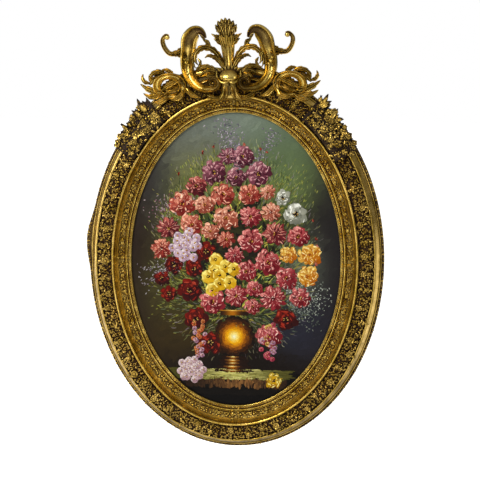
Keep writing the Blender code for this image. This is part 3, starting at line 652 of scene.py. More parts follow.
def band_floor(offset):
    """Height of the carved band's ground at an offset."""
    ground = FRAME_SECTION[12:22]
    return float(np.interp(offset, [p[0] for p in ground], [p[1] for p in ground]))


def floral_band(chance):
    """Places of every motif on the carved band."""
    sets = {kind: [] for kind in MOTIFS}
    angles = even(FLOWERS, 60, 0.5)
    for k, angle in enumerate(angles):
        per_mm = (angles[(k + 1) % FLOWERS] - angle) % (2 * pi) / BEAT
        kind = ("rose", "cup", "daisy", "rose", "bud", "daisy", "cup")[k % 7]
        out = 59.5 + (3.6 if k % 2 else -3.4) + chance.uniform(-3, 3)
        angle = angle + chance.uniform(-6, 6) * per_mm
        turn = chance.uniform(0, 360)
        if kind == "bud":
            for side in (-1, 1):
                sets["bud"].append(seat(angle + side * 4.2 * per_mm, out + side * 2, FLOWER_SEAT,
                                        90 * side + chance.uniform(-30, 30), 0, 1.1))
            sets["bead"].append(seat(angle, out, 50.4, 0, 0, 1.1))
        else:
            sets[kind].append(seat(angle, out, FLOWER_SEAT, turn, chance.uniform(-16, 16),
                                   chance.uniform(0.58, 0.86)))
            for j in range(3):
                swing = radians(turn + 120 * j + 40)
                sets["small"].append(seat(angle - 4 * sin(swing) * per_mm,
                                          out + 4 * cos(swing), 51.6, turn + 120 * j + 150, 0,
                                          chance.uniform(0.55, 0.8), chance.uniform(-10, 25)))
        # Leaves stand out all round the flower.
        for j in range(7):
            swing = radians(turn + 360 / 7 * j)
            size = chance.uniform(0.55, 0.8)
            sets["broad" if j % 2 else "long"].append(
                seat(angle - LEAF_REACH * sin(swing) * per_mm, out + LEAF_REACH * cos(swing),
                     LEAF_SEAT, degrees(swing), 0, size, chance.uniform(2, 16)))
        # Curls and berries fill the other side of the band.
        far = 60 + (-9.5 if k % 2 else 9.5)
        for j in range(2):
            here = angle + (chance.uniform(-4, 4) + 17 * j) * per_mm
            sets["curl"].append(seat(here, far + chance.uniform(-3, 3), 47.4, chance.uniform(0, 360),
                                     0, chance.uniform(0.7, 0.95)))
            sets["comma"].append(seat(here + 8 * per_mm, 60 + chance.uniform(-12, 12), 47.2,
                                      chance.uniform(0, 360)))
        for j in range(7):
            offset = chance.uniform(46.5, 74)
            sets["bead"].append(seat(angle + chance.uniform(8, 31) * per_mm, offset,
                                     band_floor(offset) + chance.uniform(1, 3.4), 0, 0,
                                     chance.uniform(0.5, 0.85)))
    # Small leaves cover the rest of the ground, each leaning its own way.
    for row in range(7):
        offset = 46.8 + 4.5 * row
        for angle in even(360, offset, row % 2 * 0.5):
            where = offset + chance.uniform(-1.6, 1.6)
            sets["small"].append(seat(angle + chance.uniform(-0.004, 0.004), where,
                                      band_floor(where) + chance.uniform(0.4, 2.0),
                                      chance.uniform(0, 360), 0, chance.uniform(0.6, 1.0),
                                      chance.uniform(6, 46)))
    return sets

# %% [markdown]
# ## Border and frame
# The outer edge ends in a fine border of leaves that lean left and right in turn. The
# frame is one piece on the real object, so the run, the garland and the border are joined
# into one mesh, and the swell in its left side is pushed out last, leaves and all.

# %% Border and frame
BORDER_TOP = 17.2  # height of the ground that the border's leaves stand on


def border(chance):
    """Places of the small leaves and beads along the outer edge."""
    leaves, beads = [], []
    for k, angle in enumerate(even(236, 97.5)):
        turn = chance.uniform(-42, -12) if k % 2 else chance.uniform(12, 42)
        leaves.append(seat(angle, 94.8, BORDER_TOP, turn, -16, chance.uniform(0.72, 0.86),
                           chance.uniform(4, 22)))
        beads.append(seat(angle + 0.007, 96.0 + chance.uniform(-0.4, 2.6), BORDER_TOP + 0.4, 0, 0,
                          chance.uniform(0.5, 0.7)))
    return leaves, beads


def build_frame():
    """Sweep, carving and border of the frame as one piece."""
    chance = random.Random(11)
    run = run_moulding("frame_run", FRAME_SECTION, 80)
    points = points_of(run)
    # The smooth cove is painted darker toward the foot of the frame with extra glaze: painted shade,
    # where the cove turns away from the light above.
    glaze = section_patina(points, FRAME_SECTION)
    smooth = (glaze > 0.24) & (glaze < 0.4)
    foot = np.clip(-points[:, 1] / SIGHT_B - 0.3, 0, 0.5)
    sweep = take(run, glaze + 0.75 * foot * smooth)
    sets = floral_band(chance)
    leaves, beads = border(chance)
    parts = [sweep] + [copies(MOTIFS[kind], places) for kind, places in sets.items() if places]
    parts += [copies(small_leaf, leaves), copies(bead, beads)]
    obj = assemble("frame_moulding_gilt", parts)
    shape(obj, swelled(points_of(obj)))
    return obj


deliver(stand(build_frame()), frame_gold, "gilded_frame", "frame_moulding")

# %% [markdown]
# ## Liner
# The inner moulding is four butted lengths on the real frame. Four arcs could be swept one
# by one, but their ends might not meet, so it is run in one and sawn. Small leaves stand
# along the sight edge, three rows of them fill the band, and each joint is hidden under a
# few leaf tips.

# %% Liner
def build_liner():
    """The four lengths of the inner moulding, with their leaves."""
    run = run_moulding("liner_run", LINER_SECTION, 80)
    only(run)
    quarters = (("liner_upper_right", 1, 1), ("liner_upper_left", -1, 1),
                ("liner_lower_left", -1, -1), ("liner_lower_right", 1, -1))
    chance = random.Random(5)
    for index, (name, across, up) in enumerate(quarters):
        only(run)
        bpy.ops.object.duplicate()
        length = bpy.context.object
        for gap, cut in (((across * 0.15 * MM, 0, 0), (across, 0, 0)),
                         ((0, up * 0.15 * MM, 0), (0, up, 0))):
            edit(length, (bpy.ops.mesh.bisect, {"plane_co": gap, "plane_no": cut, "use_fill": True,
                                                "clear_inner": True}))
        points = points_of(length)
        parts = [take(length, section_patina(points, LINER_SECTION))]
        low, high = index * pi / 2 + 0.012, (index + 1) * pi / 2 - 0.012
        tips, beads, pairs, dots, stars = [], [], [], [], []
        for angle in even(270, 5):
            if low < angle < high:
                tips.append(seat(angle, 1.5, 24.3, chance.uniform(-34, 6), 2, 0.74,
                                 chance.uniform(4, 14)))
                beads.append(seat(angle + 0.0115, 7.2, 24.3, 0, 0, 0.55))
        for row, offset in enumerate((17.2, 21.8, 26.6)):
            for angle in even(268, offset, row % 2 * 0.5):
                if low < angle < high:
                    floor = 25.4 + (offset - 17) * 0.25
                    pairs.append(seat(angle + chance.uniform(-0.003, 0.003),
                                      offset + chance.uniform(-1.4, 1.4) - 2, floor + 0.5,
                                      (-1) ** row * 55 + chance.uniform(-50, 50), 0,
                                      chance.uniform(0.6, 0.92), chance.uniform(4, 30)))
        for k, angle in enumerate(even(52, 22)):
            if low < angle < high:
                stars.append(seat(angle, 21.5, 27.0, chance.uniform(0, 90), 0, 0.42))
                for j in range(4):
                    dots.append(seat(angle + chance.uniform(0.01, 0.1), chance.uniform(16.5, 28),
                                     27.2, 0, 0, chance.uniform(0.45, 0.7)))
        start = index * pi / 2
        for offset, height, turn, size in ((3.5, 26.2, -80, 0.8), (10.5, 28.4, -95, 0.95),
                                           (17, 28.2, -70, 1.05), (24, 29.2, -105, 1.1),
                                           (30.5, 32.2, -85, 0.9)):
            pairs.append(seat(start + 0.001, offset, height, turn, 0, size, 10))
            pairs.append(seat(start + 0.028, offset + 3, height - 0.3, turn + 130, 0, size * 0.8, 10))
        parts += [copies(small_leaf, tips), copies(berry, beads), copies(small_leaf, pairs),
                  copies(bead, dots), copies(daisy, stars)]
        obj = stand(assemble(name + "_gilt", parts))
        deliver(obj, liner_gold, "gilded_liner", name)
    bpy.data.objects.remove(run, do_unlink=True)


build_liner()

# %% [markdown]
# ## Crest
# The crest is pierced scrollwork, carved from the front with hollows, veins and rolled
# rims. A bevelled curve gives such ribbons, but can't vary their width and depth apart, so
# these are swept in code. Each section's points are across, up and glaze; marks along a
# ribbon are x from the middle line, y up from the sight edge at the top, height above the
# wall, half width and half depth.

# %% Ribbon sections
SCROLL = [(-1, -0.8, 0.6), (-1.05, 0, 0.3), (-1.04, 0.55, 0.05), (-0.94, 1.0, 0), (-0.8, 1.16, 0),
          (-0.64, 1.0, 0.05), (-0.54, 0.62, 0.5), (-0.38, 0.34, 0.7), (-0.15, 0.24, 0.6),
          (0.15, 0.24, 0.6), (0.38, 0.34, 0.7), (0.54, 0.62, 0.5), (0.64, 1.0, 0.05),
          (0.8, 1.16, 0), (0.94, 1.0, 0), (1.04, 0.55, 0.05), (1.05, 0, 0.3), (1, -0.8, 0.6)]
ACANTHUS = [(-1, -0.1, 0.3), (-0.86, 0.36, 0), (-0.64, 0.56, 0.05), (-0.44, 0.4, 0.45),
            (-0.3, 0.24, 0.8), (-0.2, 0.44, 0.2), (-0.08, 0.74, 0), (0.08, 0.74, 0),
            (0.2, 0.44, 0.2), (0.3, 0.24, 0.8), (0.44, 0.4, 0.45), (0.64, 0.56, 0.05),
            (0.86, 0.36, 0), (1, -0.1, 0.3), (0.6, -0.75, 0.8), (-0.6, -0.75, 0.8)]
ROD = [(-1, 0, 0.25), (-0.88, 0.5, 0), (-0.5, 0.88, 0), (0, 1, 0), (0.5, 0.88, 0), (0.88, 0.5, 0),
       (1, 0, 0.25), (0.7, -0.75, 0.7), (0, -0.95, 0.8), (-0.7, -0.75, 0.7)]
SLAB = [(-1, -0.8, 0.4), (-1, 0.5, 0.15), (-0.93, 0.9, 0), (-0.84, 0.95, 0), (-0.76, 0.66, 0.6),
        (-0.6, 0.52, 0.75), (-0.2, 0.5, 0.6), (0.2, 0.5, 0.6), (0.6, 0.52, 0.75),
        (0.76, 0.66, 0.6), (0.84, 0.95, 0), (0.93, 0.9, 0), (1, 0.5, 0.15), (1, -0.8, 0.4)]


def flutes(count):
    """Section of a stem with rounded upright flutes on its front."""
    section = []
    for k in range(4 * count + 1):
        swing = pi * k / (4 * count)
        hump = abs(sin(k * pi / 4))
        reach = 0.74 + 0.26 * hump
        section.append((-cos(swing) * (0.92 + 0.08 * hump), reach * sin(swing) ** 0.8,
                        0.9 * (1 - hump) ** 1.5))
    return section + [(0.8, -0.6, 0.8), (-0.8, -0.6, 0.8)]

# %% [markdown]
# The sweep passes through its marks on a smooth curve. Lobes bite teeth into the edges,
# which turns a plain ribbon into an acanthus leaf.

# %% Ribbons
def smooth_marks(marks, per_span, closed):
    """Stations on a smooth curve through the marks."""
    marks = np.array(marks, float)
    if closed:
        run = np.concatenate([marks[-1:], marks, marks[:2]])
    else:
        run = np.concatenate([[2 * marks[0] - marks[1]], marks, [2 * marks[-1] - marks[-2]]])
    stations = []
    for a, b, c, d in zip(run, run[1:], run[2:], run[3:]):
        for t in np.arange(per_span) / per_span:
            stations.append(0.5 * (2 * b + (c - a) * t + (2 * a - 5 * b + 4 * c - d) * t ** 2
                                   + (3 * b - a - 3 * c + d) * t ** 3))
    if not closed:
        stations.append(marks[-1])
    return np.array(stations)


def ribbon(marks, section, per_span=6, closed=False, lobes=0.0, bite=0.35, curl_up=0.0):
    """Arrays of a swept ribbon; lobes cut its edges into teeth that point along it."""
    stations = smooth_marks(marks, per_span, closed)
    count = len(stations)
    if closed:
        along = np.roll(stations, -1, 0)[:, :2] - np.roll(stations, 1, 0)[:, :2]
    else:
        along = np.gradient(stations[:, :2], axis=0)
    along /= np.maximum(np.linalg.norm(along, axis=1), 1e-9)[:, None]
    side = np.stack([along[:, 1], -along[:, 0]], 1)
    share = np.linspace(0, 1, count)
    phase = (share * lobes) % 1.0
    tooth = bite * (1 - phase) ** 1.3 if lobes else np.zeros(count)
    section = np.array(section, float)
    outer = np.clip((np.abs(section[:, 0]) - 0.5) / 0.5, 0, 1)
    reach = section[None, :, 0] * (1 - tooth[:, None] * outer[None])
    rise = section[None, :, 1] + (curl_up * phase[:, None] - tooth[:, None] * 0.5) * outer[None] * (
        section[None, :, 1] > -0.5)
    x = stations[:, 0:1] + side[:, 0:1] * reach * stations[:, 3:4]
    y = stations[:, 1:2] + side[:, 1:2] * reach * stations[:, 3:4]
    z = stations[:, 2:3] + rise * stations[:, 4:5]
    points = np.stack([x, y, z], 2).reshape(-1, 3)
    patina = np.clip(section[None, :, 2] + 0.5 * tooth[:, None], 0, 1).ravel()
    n = len(section)
    faces = []
    for k in range(count if closed else count - 1):
        here, there = k * n, (k + 1) % count * n
        for j in range(n):
            after = (j + 1) % n
            faces.append((here + j, here + after, there + after, there + j))
    if not closed:
        faces += [tuple(range(n))[::-1], tuple(range((count - 1) * n, count * n))]
    return points, faces, patina

# %% [markdown]
# Most of the crest is such leaves, so they are kept in tables. A leaf is its stations a
# span, its lobes and their bite, a curl where it has one, and then its marks.

# %% Tables of leaves
def leaves(table):
    """Acanthus ribbons from a table."""
    made = []
    for line in table.split(";"):
        head, marks = line.split(":")
        span, lobes, bite, *curl = map(float, head.split())
        marks = [[float(value) for value in mark.split()] for mark in marks.split(",")]
        made.append(ribbon(marks, ACANTHUS, int(span), False, lobes, bite, *curl))
    return made

# %% [markdown]
# Each side of the crest mirrors the other. The whole is then set a little left of the
# middle and leaning left, as the real one is.

# %% Placing the crest
def set_crest(points):
    """Crest marks in millimetres to bench metres, with the lean of the whole crest."""
    x, y = points[:, 0], points[:, 1]
    across = 0.963 * x - 0.058 * y - 7
    up = 0.935 * y + 0.027 * x + 5.4
    return np.stack([across, up + SIGHT_B / MM, points[:, 2]], 1) * MM


def both(pieces):
    """Pieces and their mirror images, set in place on the bench."""
    made = []
    for points, faces, patina in pieces:
        made.append((set_crest(points), faces, patina))
        made.append((set_crest(points * (-1, 1, 1)), [f[::-1] for f in faces], patina))
    return made


def volute():
    """Marks of the big C-scroll, from its curled top round into the lower volute."""
    marks = [(50, 176, 55, 2.5, 4), (55, 187, 55, 6, 7), (65, 194, 53, 11, 10), (77, 190, 51, 15.5, 11),
             (89, 174, 48, 18, 12), (94, 153, 44, 17, 12), (99, 130, 40, 15, 12),
             (99, 105, 42, 14.5, 13), (94, 84, 47, 13, 13), (81, 67, 54, 11.5, 13),
             (62, 56, 61, 9.5, 12)]
    for k in range(11):
        swing = radians(-95 - 50 * k)
        reach = 14.5 * (1 - 0.078 * k)
        marks.append((38 + reach * cos(swing), 69 + reach * sin(swing),
                      63 + 0.7 * k, max(6.5 - 0.42 * k, 2.4), 9 - 0.3 * k))
    return marks


def scroll_top_shade(pieces):
    """Paint shade into the hollow of the scroll where it turns over at the top, as extra glaze."""
    points, faces, patina = pieces
    turned = np.clip((points[:, 1] - 138) / 30, 0, 1)
    return points, faces, patina + 0.9 * turned * (patina > 0.3)


def ring(out, up, half_x, half_y, band, height, depth, swing=4.0):
    """Marks of a closed loop."""
    marks = []
    for k in range(14):
        turn = 2 * pi * k / 14
        marks.append((out + half_x * cos(turn), up + half_y * sin(turn),
                      height + swing * sin(turn), band * (1 + 0.12 * cos(2 * turn)),
                      depth))
    return marks

# %% [markdown]
# ## Plume
# The stem rises in flutes through a collar of pointed leaves to a head of feathered ones.
# One lobed mesh could stand for the head, but its shadows come from leaves that overlap,
# so seven stand behind and five in front.

# %% Plume
# Two pointed leaves leave the collar sideways.
COLLAR_LEAVES = """
6 3 0.25: 6 168 52 8 6, 20 177 55 7.5 6, 28 181 56 4.5 4, 36 186 56 0.8 1.5;
6 2 0.2: 9 158 50 5 5, 19 166 54 6 5, 26 171 55 3.5 4, 31 174 54 0.8 1.5"""


def plume():
    """Fluted stem, collar and feathered head."""
    pieces = [ribbon([(0, 100, 43, 13, 11), (0, 133, 42, 14.5, 11), (0, 161, 43, 18, 12),
                      (0, 178, 47, 21, 12), (0, 190, 50, 18, 10)], flutes(5), 6)]
    for lean, top, height, width in ((0, 223, 60, 8), (-8, 221, 59, 8), (8, 221, 59, 8),
                                     (-15.5, 216, 57, 7.5), (15.5, 216, 57, 7.5),
                                     (-21, 207, 54, 6.5), (21, 207, 54, 6.5), (0, 211, 66, 7),
                                     (-9.5, 208, 65, 6.5), (9.5, 208, 65, 6.5),
                                     (-16, 201, 61, 6), (16, 201, 61, 6)):
        points, faces, patina = ribbon(
            [(lean * 0.35, 170, 50, width * 0.6, 5), (lean * 0.7, 188, height - 3, width, 6),
             (lean * 0.95, top - 11, height, width, 5.5),
             (lean * 1.08, top - 4, height + 3, width * 0.62, 4),
             (lean * 1.2, top + 0.5, height + 4, 1.2, 2)],
            ACANTHUS, 6, lobes=4, bite=0.28, curl_up=0.25)
        pieces.append((points, faces, np.clip(patina + 0.38, 0, 1)))
    for lean, tip_y, tip_h, width in ((0, 184, 64, 8), (-11, 183, 62, 7.5), (11, 183, 62, 7.5)):
        pieces.append(ribbon([(lean * 0.7, 152, 51, width * 0.6, 4), (lean * 0.95, 167, 56, width, 5),
                              (lean * 1.15, 178, 61, width * 0.8, 4), (lean * 1.3, tip_y, tip_h, 1, 1.5)],
                             ACANTHUS, 5, lobes=3, bite=0.2))
    made = [(set_crest(points), faces, patina) for points, faces, patina in pieces]
    return made + both(leaves(COLLAR_LEAVES))

# %% [markdown]
# ## Middle
# Below the stem lies a hollow with a fan of ribs, painted dark as its shade. A smooth boss
# closes it, its top painted darker in the shade of the ribs, and a narrow panel between
# leaves stands on the moulding.

# %% Middle
PANEL_LEAVES = """
5 3 0.25: 15 62 59 4.5 5, 15 48 61 4.5 5, 19 37 60 6 5, 24 29 58 4 4, 28 26 56 1 1;
5 3 0.25: 4 60 61 3.5 3, 6 46 63 4 4, 8 36 62 4 4, 12 28 58 1 1"""


def middle():
    """Core behind the hollow, the boss, the ribs, the panel below, and the leaves round it."""
    single = [
        ribbon([(0, 46, 46, 22, 13), (0, 84, 38, 25, 12), (0, 112, 34, 18, 9)], ROD, 6),
        ribbon([(0, 76, 56, 17, 9), (0, 62, 57, 15.5, 9), (0, 48, 57, 16.5, 8), (0, 38, 57, 19, 6),
                (0, 31, 55, 21, 4)], SLAB, 5),
    ]
    boss = ribbon([(0, 100, 53, 9, 3), (0, 95, 57, 16, 7), (0, 86, 61, 21, 10), (0, 77, 63, 21, 10),
                   (0, 70, 63, 14, 6)], ROD, 6)
    # Painted shade: the top of the boss takes extra glaze, darker under the fan of ribs.
    single.append((boss[0], boss[1], boss[2] + 1.2 * np.clip((boss[0][:, 1] - 82) / 10, 0, 1)))
    # Fan of ribs in the hollow above the boss, painted dark with extra glaze: painted shade of the
    # hollow.
    ribs = []
    for k in range(-3, 4):
        ribs.append(ribbon([(k * 2.6, 82, 47, 2.6, 4), (k * 5.2, 92, 49, 4.0, 5),
                            (k * 7.4, 103 - abs(k) * 1.5, 53, 3.8, 4),
                            (k * 8.6, 110 - abs(k) * 2.4, 55, 1.4, 2)], ROD, 4))
    ribs.append(ribbon([(0, 66, 64, 2.2, 2), (0, 50, 65, 3.4, 3), (0, 37, 63, 1.5, 2)],
                       ACANTHUS, 5, lobes=5))
    single += [(p, f, a + 1.1) for p, f, a in ribs]
    pairs = [
        ribbon([(-1, 74, 69, 1, 1.4), (5, 69.5, 73, 2.4, 2.4), (13, 68.5, 73, 2.6, 2.6),
                (22, 74, 69, 2.6, 2.6), (28, 85, 62, 2.2, 2.2), (28, 97, 56, 1.2, 1.4)], ROD, 6),
    ] + leaves(PANEL_LEAVES)
    return [(set_crest(p), f, a) for p, f, a in single] + both(pairs)

# %% [markdown]
# ## Scrollwork
# A big C-scroll stands on either side of the stem, with a hook on its shoulder, leaves
# within, and a leafy bed behind. Its hollow is painted darkest where it turns over at the top:
# painted shade, laid on as extra glaze.

# %% Scrollwork
SCROLL_LEAVES = """
6 4 0.45: 102 168 46 3 4, 107 154 47 6.5 6, 118 146 47 7 6, 130 142 46 5 5, 138 137 45 1 2;
5 3 0.35: 99 134 44 4 5, 110 134 45 6.5 6, 121 136 45 4 4, 127 133 44 1 1;
7 9 0.3 0.15: 8 104 44 5 7, 22 132 46 7.5 7, 39 150 50 9 7, 60 153 53 8.5 7, 76 140 52 7 6,
    79 124 50 5 5, 73 112 50 1 2;
6 6 0.35: 12 104 48 5 6, 28 126 52 7 6, 44 134 54 5.5 5, 55 129 53 1 2;
5 4 0.35: 10 106 52 3 4, 19 122 56 4 5, 30 130 58 3.4 4, 40 129 57 1 1;
6 4 0.35: 62 186 52 4 5, 51 167 50 4 5, 38 151 48 5 5;
5 2 0.35: 51 172 51 3 4, 44 166 52 4 4, 40 156 50 1 1;
5 3 0.5: 72 128 51 2.5 4, 66 118 53 5 5, 70 108 53 4 4, 78 104 51 1 1;
5 4 0.5: 80 142 52 3 4, 84 128 54 4.6 5, 83 114 53 3.5 4, 78 104 51 1 1;
6 6 0.4: 22 88 48 4 5, 36 97 51 7 6, 52 98 50 6.5 6, 64 91 48 3 4, 66 84 47 1 1;
6 6 0.4: 24 92 44 5 5, 40 104 46 7 6, 58 106 45 6 6, 76 100 43 4 4, 86 96 42 1 1;
5 3 0.3: 28 84 52 4 4, 40 88 56 6 5, 50 86 56 5 4, 56 80 54 1 1;
5 4 0.25: 34 98 50 3 4, 46 107 52 6 5, 60 108 52 6 5, 72 101 50 1.5 2;
6 3 0.3: 60 44 50 4 5, 48 36 54 7.5 6, 36 32 55 6 5, 26 35 54 1 1.5;
5 3 0.4: 104 92 50 3 4, 116 87 53 5 5, 128 88 54 4.5 5, 136 93 52 1 1;
5 4 0.4: 104 84 52 4 5, 110 70 54 6 6, 104 58 54 5 5, 94 54 52 1 1"""


def scrollwork():
    """Big scrolls, side hooks, inner leaves and the leafy bed behind them."""
    pieces = [
        scroll_top_shade(ribbon(volute(), SCROLL, 6)),
        ribbon([(101, 146, 42, 8, 6), (112, 143.5, 42, 8, 8), (122, 141, 42, 6.8, 7),
                (139, 141, 42, 5.8, 6), (151, 156, 42, 5.4, 6), (154, 173, 44, 5.0, 5),
                (146, 184, 46, 4.6, 5), (139, 182, 47, 4.8, 5)], SCROLL, 6),
        ribbon([(14, 94, 36, 9, 9), (50, 96, 34, 10, 10), (92, 86, 32, 9, 9)], ROD, 6),
        ribbon([(94, 92, 40, 9, 9), (118, 78, 46, 8, 8)], ROD, 4),
    ] + leaves(SCROLL_LEAVES)
    for x, y, h, size in ((100, 118, 52, 5.2), (95, 112, 53, 3.2), (104, 126, 51, 3.2),
                          (142, 180, 49, 6.2), (37, 68, 70, 3.4)):
        ball = take(dome("knob", size * 2, size * 0.9, 12, 8), 0.05)
        points = ball[0] / MM + (x, y, h)
        pieces.append((points, ball[1], ball[2]))
    return both(pieces)

# %% [markdown]
# ## Shoulder loops
# On either shoulder an acanthus leaf turns over into a loop, with a darker leaf in it.

# %% Shoulder loops
DARK_LEAVES = """
6 7 0.25: 112 82 44 9 5, 126 72 46 15 6, 142 62 47 17 6, 158 54 46 13 6, 170 50 45 5 4;
6 4 0.25: 150 92 42 6 5, 168 86 43 9 6, 184 76 43 8 5, 192 66 42 2 3"""
LOOP_LEAVES = """
6 5 0.28: 112 70 57 3 4, 124 74 60 6 5, 138 68 61 7.5 6, 152 60 60 6 5, 164 50 57 1.5 2;
5 3 0.28: 122 58 55 3 4, 134 52 58 5 4, 148 48 58 4 4, 158 42 55 1 1.5;
6 5 0.25 0.2: 152 92 48 4 5, 164 98 49 6.5 6, 178 96 48 6.5 6, 189 86 46 5 5, 192 75 45 1.5 2;
6 3 0.25: 156 80 50 3 4, 166 84 52 5 5, 177 80 51 4.6 5, 182 70 49 1 1.5;
6 4 0.3: 154 46 46 8 8, 172 47 49 12 8, 188 53 49 11 7, 202 60 47 6.5 5, 214 69 45 1 1.5;
6 3 0.3: 166 42 51 5 5, 182 37 52 8.5 6, 196 39 50 6 5, 208 46 47 1 1.5;
6 3 0.3: 150 38 50 5 5, 162 28 52 8.5 6, 175 23 50 6 5, 186 25 48 1 1.5;
6 3 0.3: 112 50 52 4 5, 118 38 56 8 6, 131 31 57 7 5, 144 32 56 1 1.5;
5 3 0.25: 192 70 48 4 5, 203 74 48 6 5, 208 84 46 4 4, 206 93 44 1 1.5;
5 3 0.25: 134 86 50 4 5, 140 97 51 6.5 6, 152 102 50 5 5, 162 100 48 1 1.5;
6 3 0.3: 104 60 54 5 5, 96 47 57 8 6, 84 38 57 7 5, 72 36 55 1 1.5"""


def loops():
    """Looped acanthus on either shoulder, with the leaf that fills each loop."""
    pieces = [(p, f, a + 0.3) for p, f, a in leaves(DARK_LEAVES)] + [
        ribbon(ring(142, 62, 31, 25, 8.6, 51, 9, 6.0), SCROLL, 5, True)] + leaves(LOOP_LEAVES)
    # Painted light: the loops are kept lighter, as where they catch the lamps, so only a third of the
    # glaze stays on them.
    return both([(p, f, a * 0.32) for p, f, a in pieces])

# %% [markdown]
# ## Crest as one piece
# The ribbons run into each other as the carving does, and their normals are made to point
# outward after the mirroring.

# %% Crest
def build_crest():
    """The whole crest as one piece."""
    return edit(assemble("crest_gilt", plume() + middle() + scrollwork() + loops(), 42), OUTWARD)


deliver(stand(build_crest()), crest_gold, "gilded_crest", "crest")

# %% [markdown]
# ## Sprays
# A thick spray of leaves and flowers lies over each shoulder and hides the smooth cove. A
# solid lump with bumps would look melted, so it is laid as a maker lays it: a bed that
# follows the frame, a shaggy coat of leaves, flowers and berries between them, and longer
# leaves that stand out past the edge.

# %% Spray bed
SPRAY_BED = [(45, 50.5, 0), (45, 57, 0), (50, 59.5, 0), (60, 60.5, 0), (70, 60, 0), (78, 57.5, 0),
             (86, 51.5, 0), (94, 46.5, 0), (101, 43, 0.5), (101, 38, 0.8), (101, 33, 0.6), (96, 31, 0),
             (86, 40, 0), (78, 46, 0), (60, 51.5, 0)]


def spray_reach(share):
    """How far the spray stands past the frame's edge: further toward its top."""
    return 5 + 21 * share


def spray_bed(low, high, chance):
    """The bed as a closed skin: section points carried along the shoulder."""
    stations = 34
    rows = []
    for k in range(stations):
        share = k / (stations - 1)
        angle = low + (high - low) * share
        ragged = 0.35 + (0.4 if k % 3 == 0 else 0) + chance.uniform(-0.1, 0.1)
        row = []
        for offset, height, beyond in SPRAY_BED:
            point, out, forward = oval(angle, offset + beyond * ragged * spray_reach(share))
            bump = chance.uniform(-0.7, 0.7) if height > 40 else 0
            row.append((point[0][0], point[0][1], (height + bump) * MM))
        rows.append(row)
    across = len(SPRAY_BED)
    faces = []
    for k in range(stations - 1):
        for j in range(across):
            after = (j + 1) % across
            faces.append((k * across + j, k * across + after, (k + 1) * across + after,
                          (k + 1) * across + j))
    faces.append(tuple(range(across))[::-1])
    faces.append(tuple((stations - 1) * across + j for j in range(across)))
    return np.array(rows).reshape(-1, 3), faces, np.ones(stations * across)


def bed_height(offset):
    """Height of the bed's top at an offset."""
    top = SPRAY_BED[1:9]
    return float(np.interp(offset, [p[0] for p in top], [p[1] for p in top]))

# %% [markdown]
# ## Spray leaves
# The leaves lie in depths: long ones past the edge, a shaggy coat over the bed, and flowers,
# berries and curls on top. An even pattern would look stamped, so chance turns and sizes
# each of them.

# %% Spray leaves
def spray_sets(low, high, chance):
    """Places of every leaf, flower and berry of a spray."""
    sets = {kind: [] for kind in ("broad", "long", "small", "rose", "daisy", "cup", "bead", "curl",
                                  "seed")}

    def somewhere(near, far):
        """A random place on the spray, kept inside its ends."""
        share = chance.uniform(0.02, 0.98)
        offset = chance.uniform(near, far)
        return share, low + (high - low) * share, offset, bed_height(min(offset, FRAME_OUT))

    # Leaves that stand out past the edge, longest at the top.
    for k in range(40):
        share, angle, offset, height = somewhere(84, 97)
        reach = FRAME_OUT + spray_reach(share) - offset
        size = min(1.9, reach / 16 * chance.uniform(0.55, 1.0))
        kind = "broad" if k % 4 else "long"
        sets[kind].append(seat(angle, offset, height - chance.uniform(0, 6), chance.uniform(-75, 55),
                               chance.uniform(-10, 16), size, chance.uniform(-14, 14)))
    for k in range(7):
        share, angle, offset, height = somewhere(94, 100)
        offset += 0.45 * spray_reach(share)
        kind = ("cup", "rose")[k % 2]
        sets[kind].append(seat(angle, offset, height + 1, chance.uniform(0, 360),
                               chance.uniform(-35, -10), chance.uniform(0.6, 0.85)))
    # A shaggy coat of leaves over the bed.
    for k in range(210):
        share, angle, offset, height = somewhere(48, 96)
        kind = ("broad", "small", "long", "small", "broad")[k % 5]
        size = chance.uniform(0.55, 0.95) * (1.25 if kind == "small" else 1.0)
        sets[kind].append(seat(angle, offset, height - 0.8, chance.uniform(0, 360),
                               chance.uniform(4, 40), size))
    for k in range(15):
        share, angle, offset, height = somewhere(54, 94)
        kind = ("rose", "cup", "daisy")[k % 3]
        sets[kind].append(seat(angle, offset, height + 0.6, chance.uniform(0, 360),
                               chance.uniform(-24, 12), chance.uniform(0.55, 0.85)))
    for k in range(70):
        share, angle, offset, height = somewhere(48, 100)
        sets["bead" if k % 2 else "seed"].append(seat(angle, offset, height + chance.uniform(1, 4), 0, 0,
                                                      chance.uniform(0.5, 0.95)))
    for k in range(22):
        share, angle, offset, height = somewhere(50, 98)
        sets["curl"].append(seat(angle, offset, height + 1, chance.uniform(0, 360),
                                 chance.uniform(-20, 20), chance.uniform(0.6, 0.95)))
    return sets

# %% [markdown]
# ## Both sprays
# The pair matches in kind, not leaf for leaf. So the left one is mirrored from the right
# shoulder, a little shorter, and grown from its own seed.

# %% Sprays
def build_spray(name, to_deg, seed):
    """One spray, modelled on the right shoulder and mirrored for the left."""
    chance = random.Random(seed)
    low, high = radians(38.6), radians(to_deg - 0.5)
    parts = [spray_bed(low, high, chance)]
    parts += [copies(MOTIFS[kind], places) for kind, places in spray_sets(low, high, chance).items()]
    if name.endswith("left"):
        parts = [(points * (-1, 1, 1), [face[::-1] for face in faces], patina)
                 for points, faces, patina in parts]
    deliver(stand(assemble(name + "_gilt", parts)), spray_gold, "gilded_spray", name)


build_spray("spray_right", 60.0, 21)
build_spray("spray_left", 58.5, 34)

# %% [markdown]
# ## Painting
# The picture is oil paint laid on thickly, in visible strokes. A flat coloured plate would
# look printed, so it is painted here stroke by stroke: a soft ground, feathery leaves
# behind, then blooms of a few generic kinds, and last the thick light touches. Every stroke
# is a ridge a few tenths of a millimetre high, so raking light and close views show its
# edge. The bouquet is a made-up one; only its colours and broad areas are those of the
# picture.

# %% Strokes of paint
STROKES = []


def colour_of(code):
    """sRGB parts of a hex code, from 0 to 1."""
    return np.array([int(code[k:k + 2], 16) for k in (0, 2, 4)]) / 255


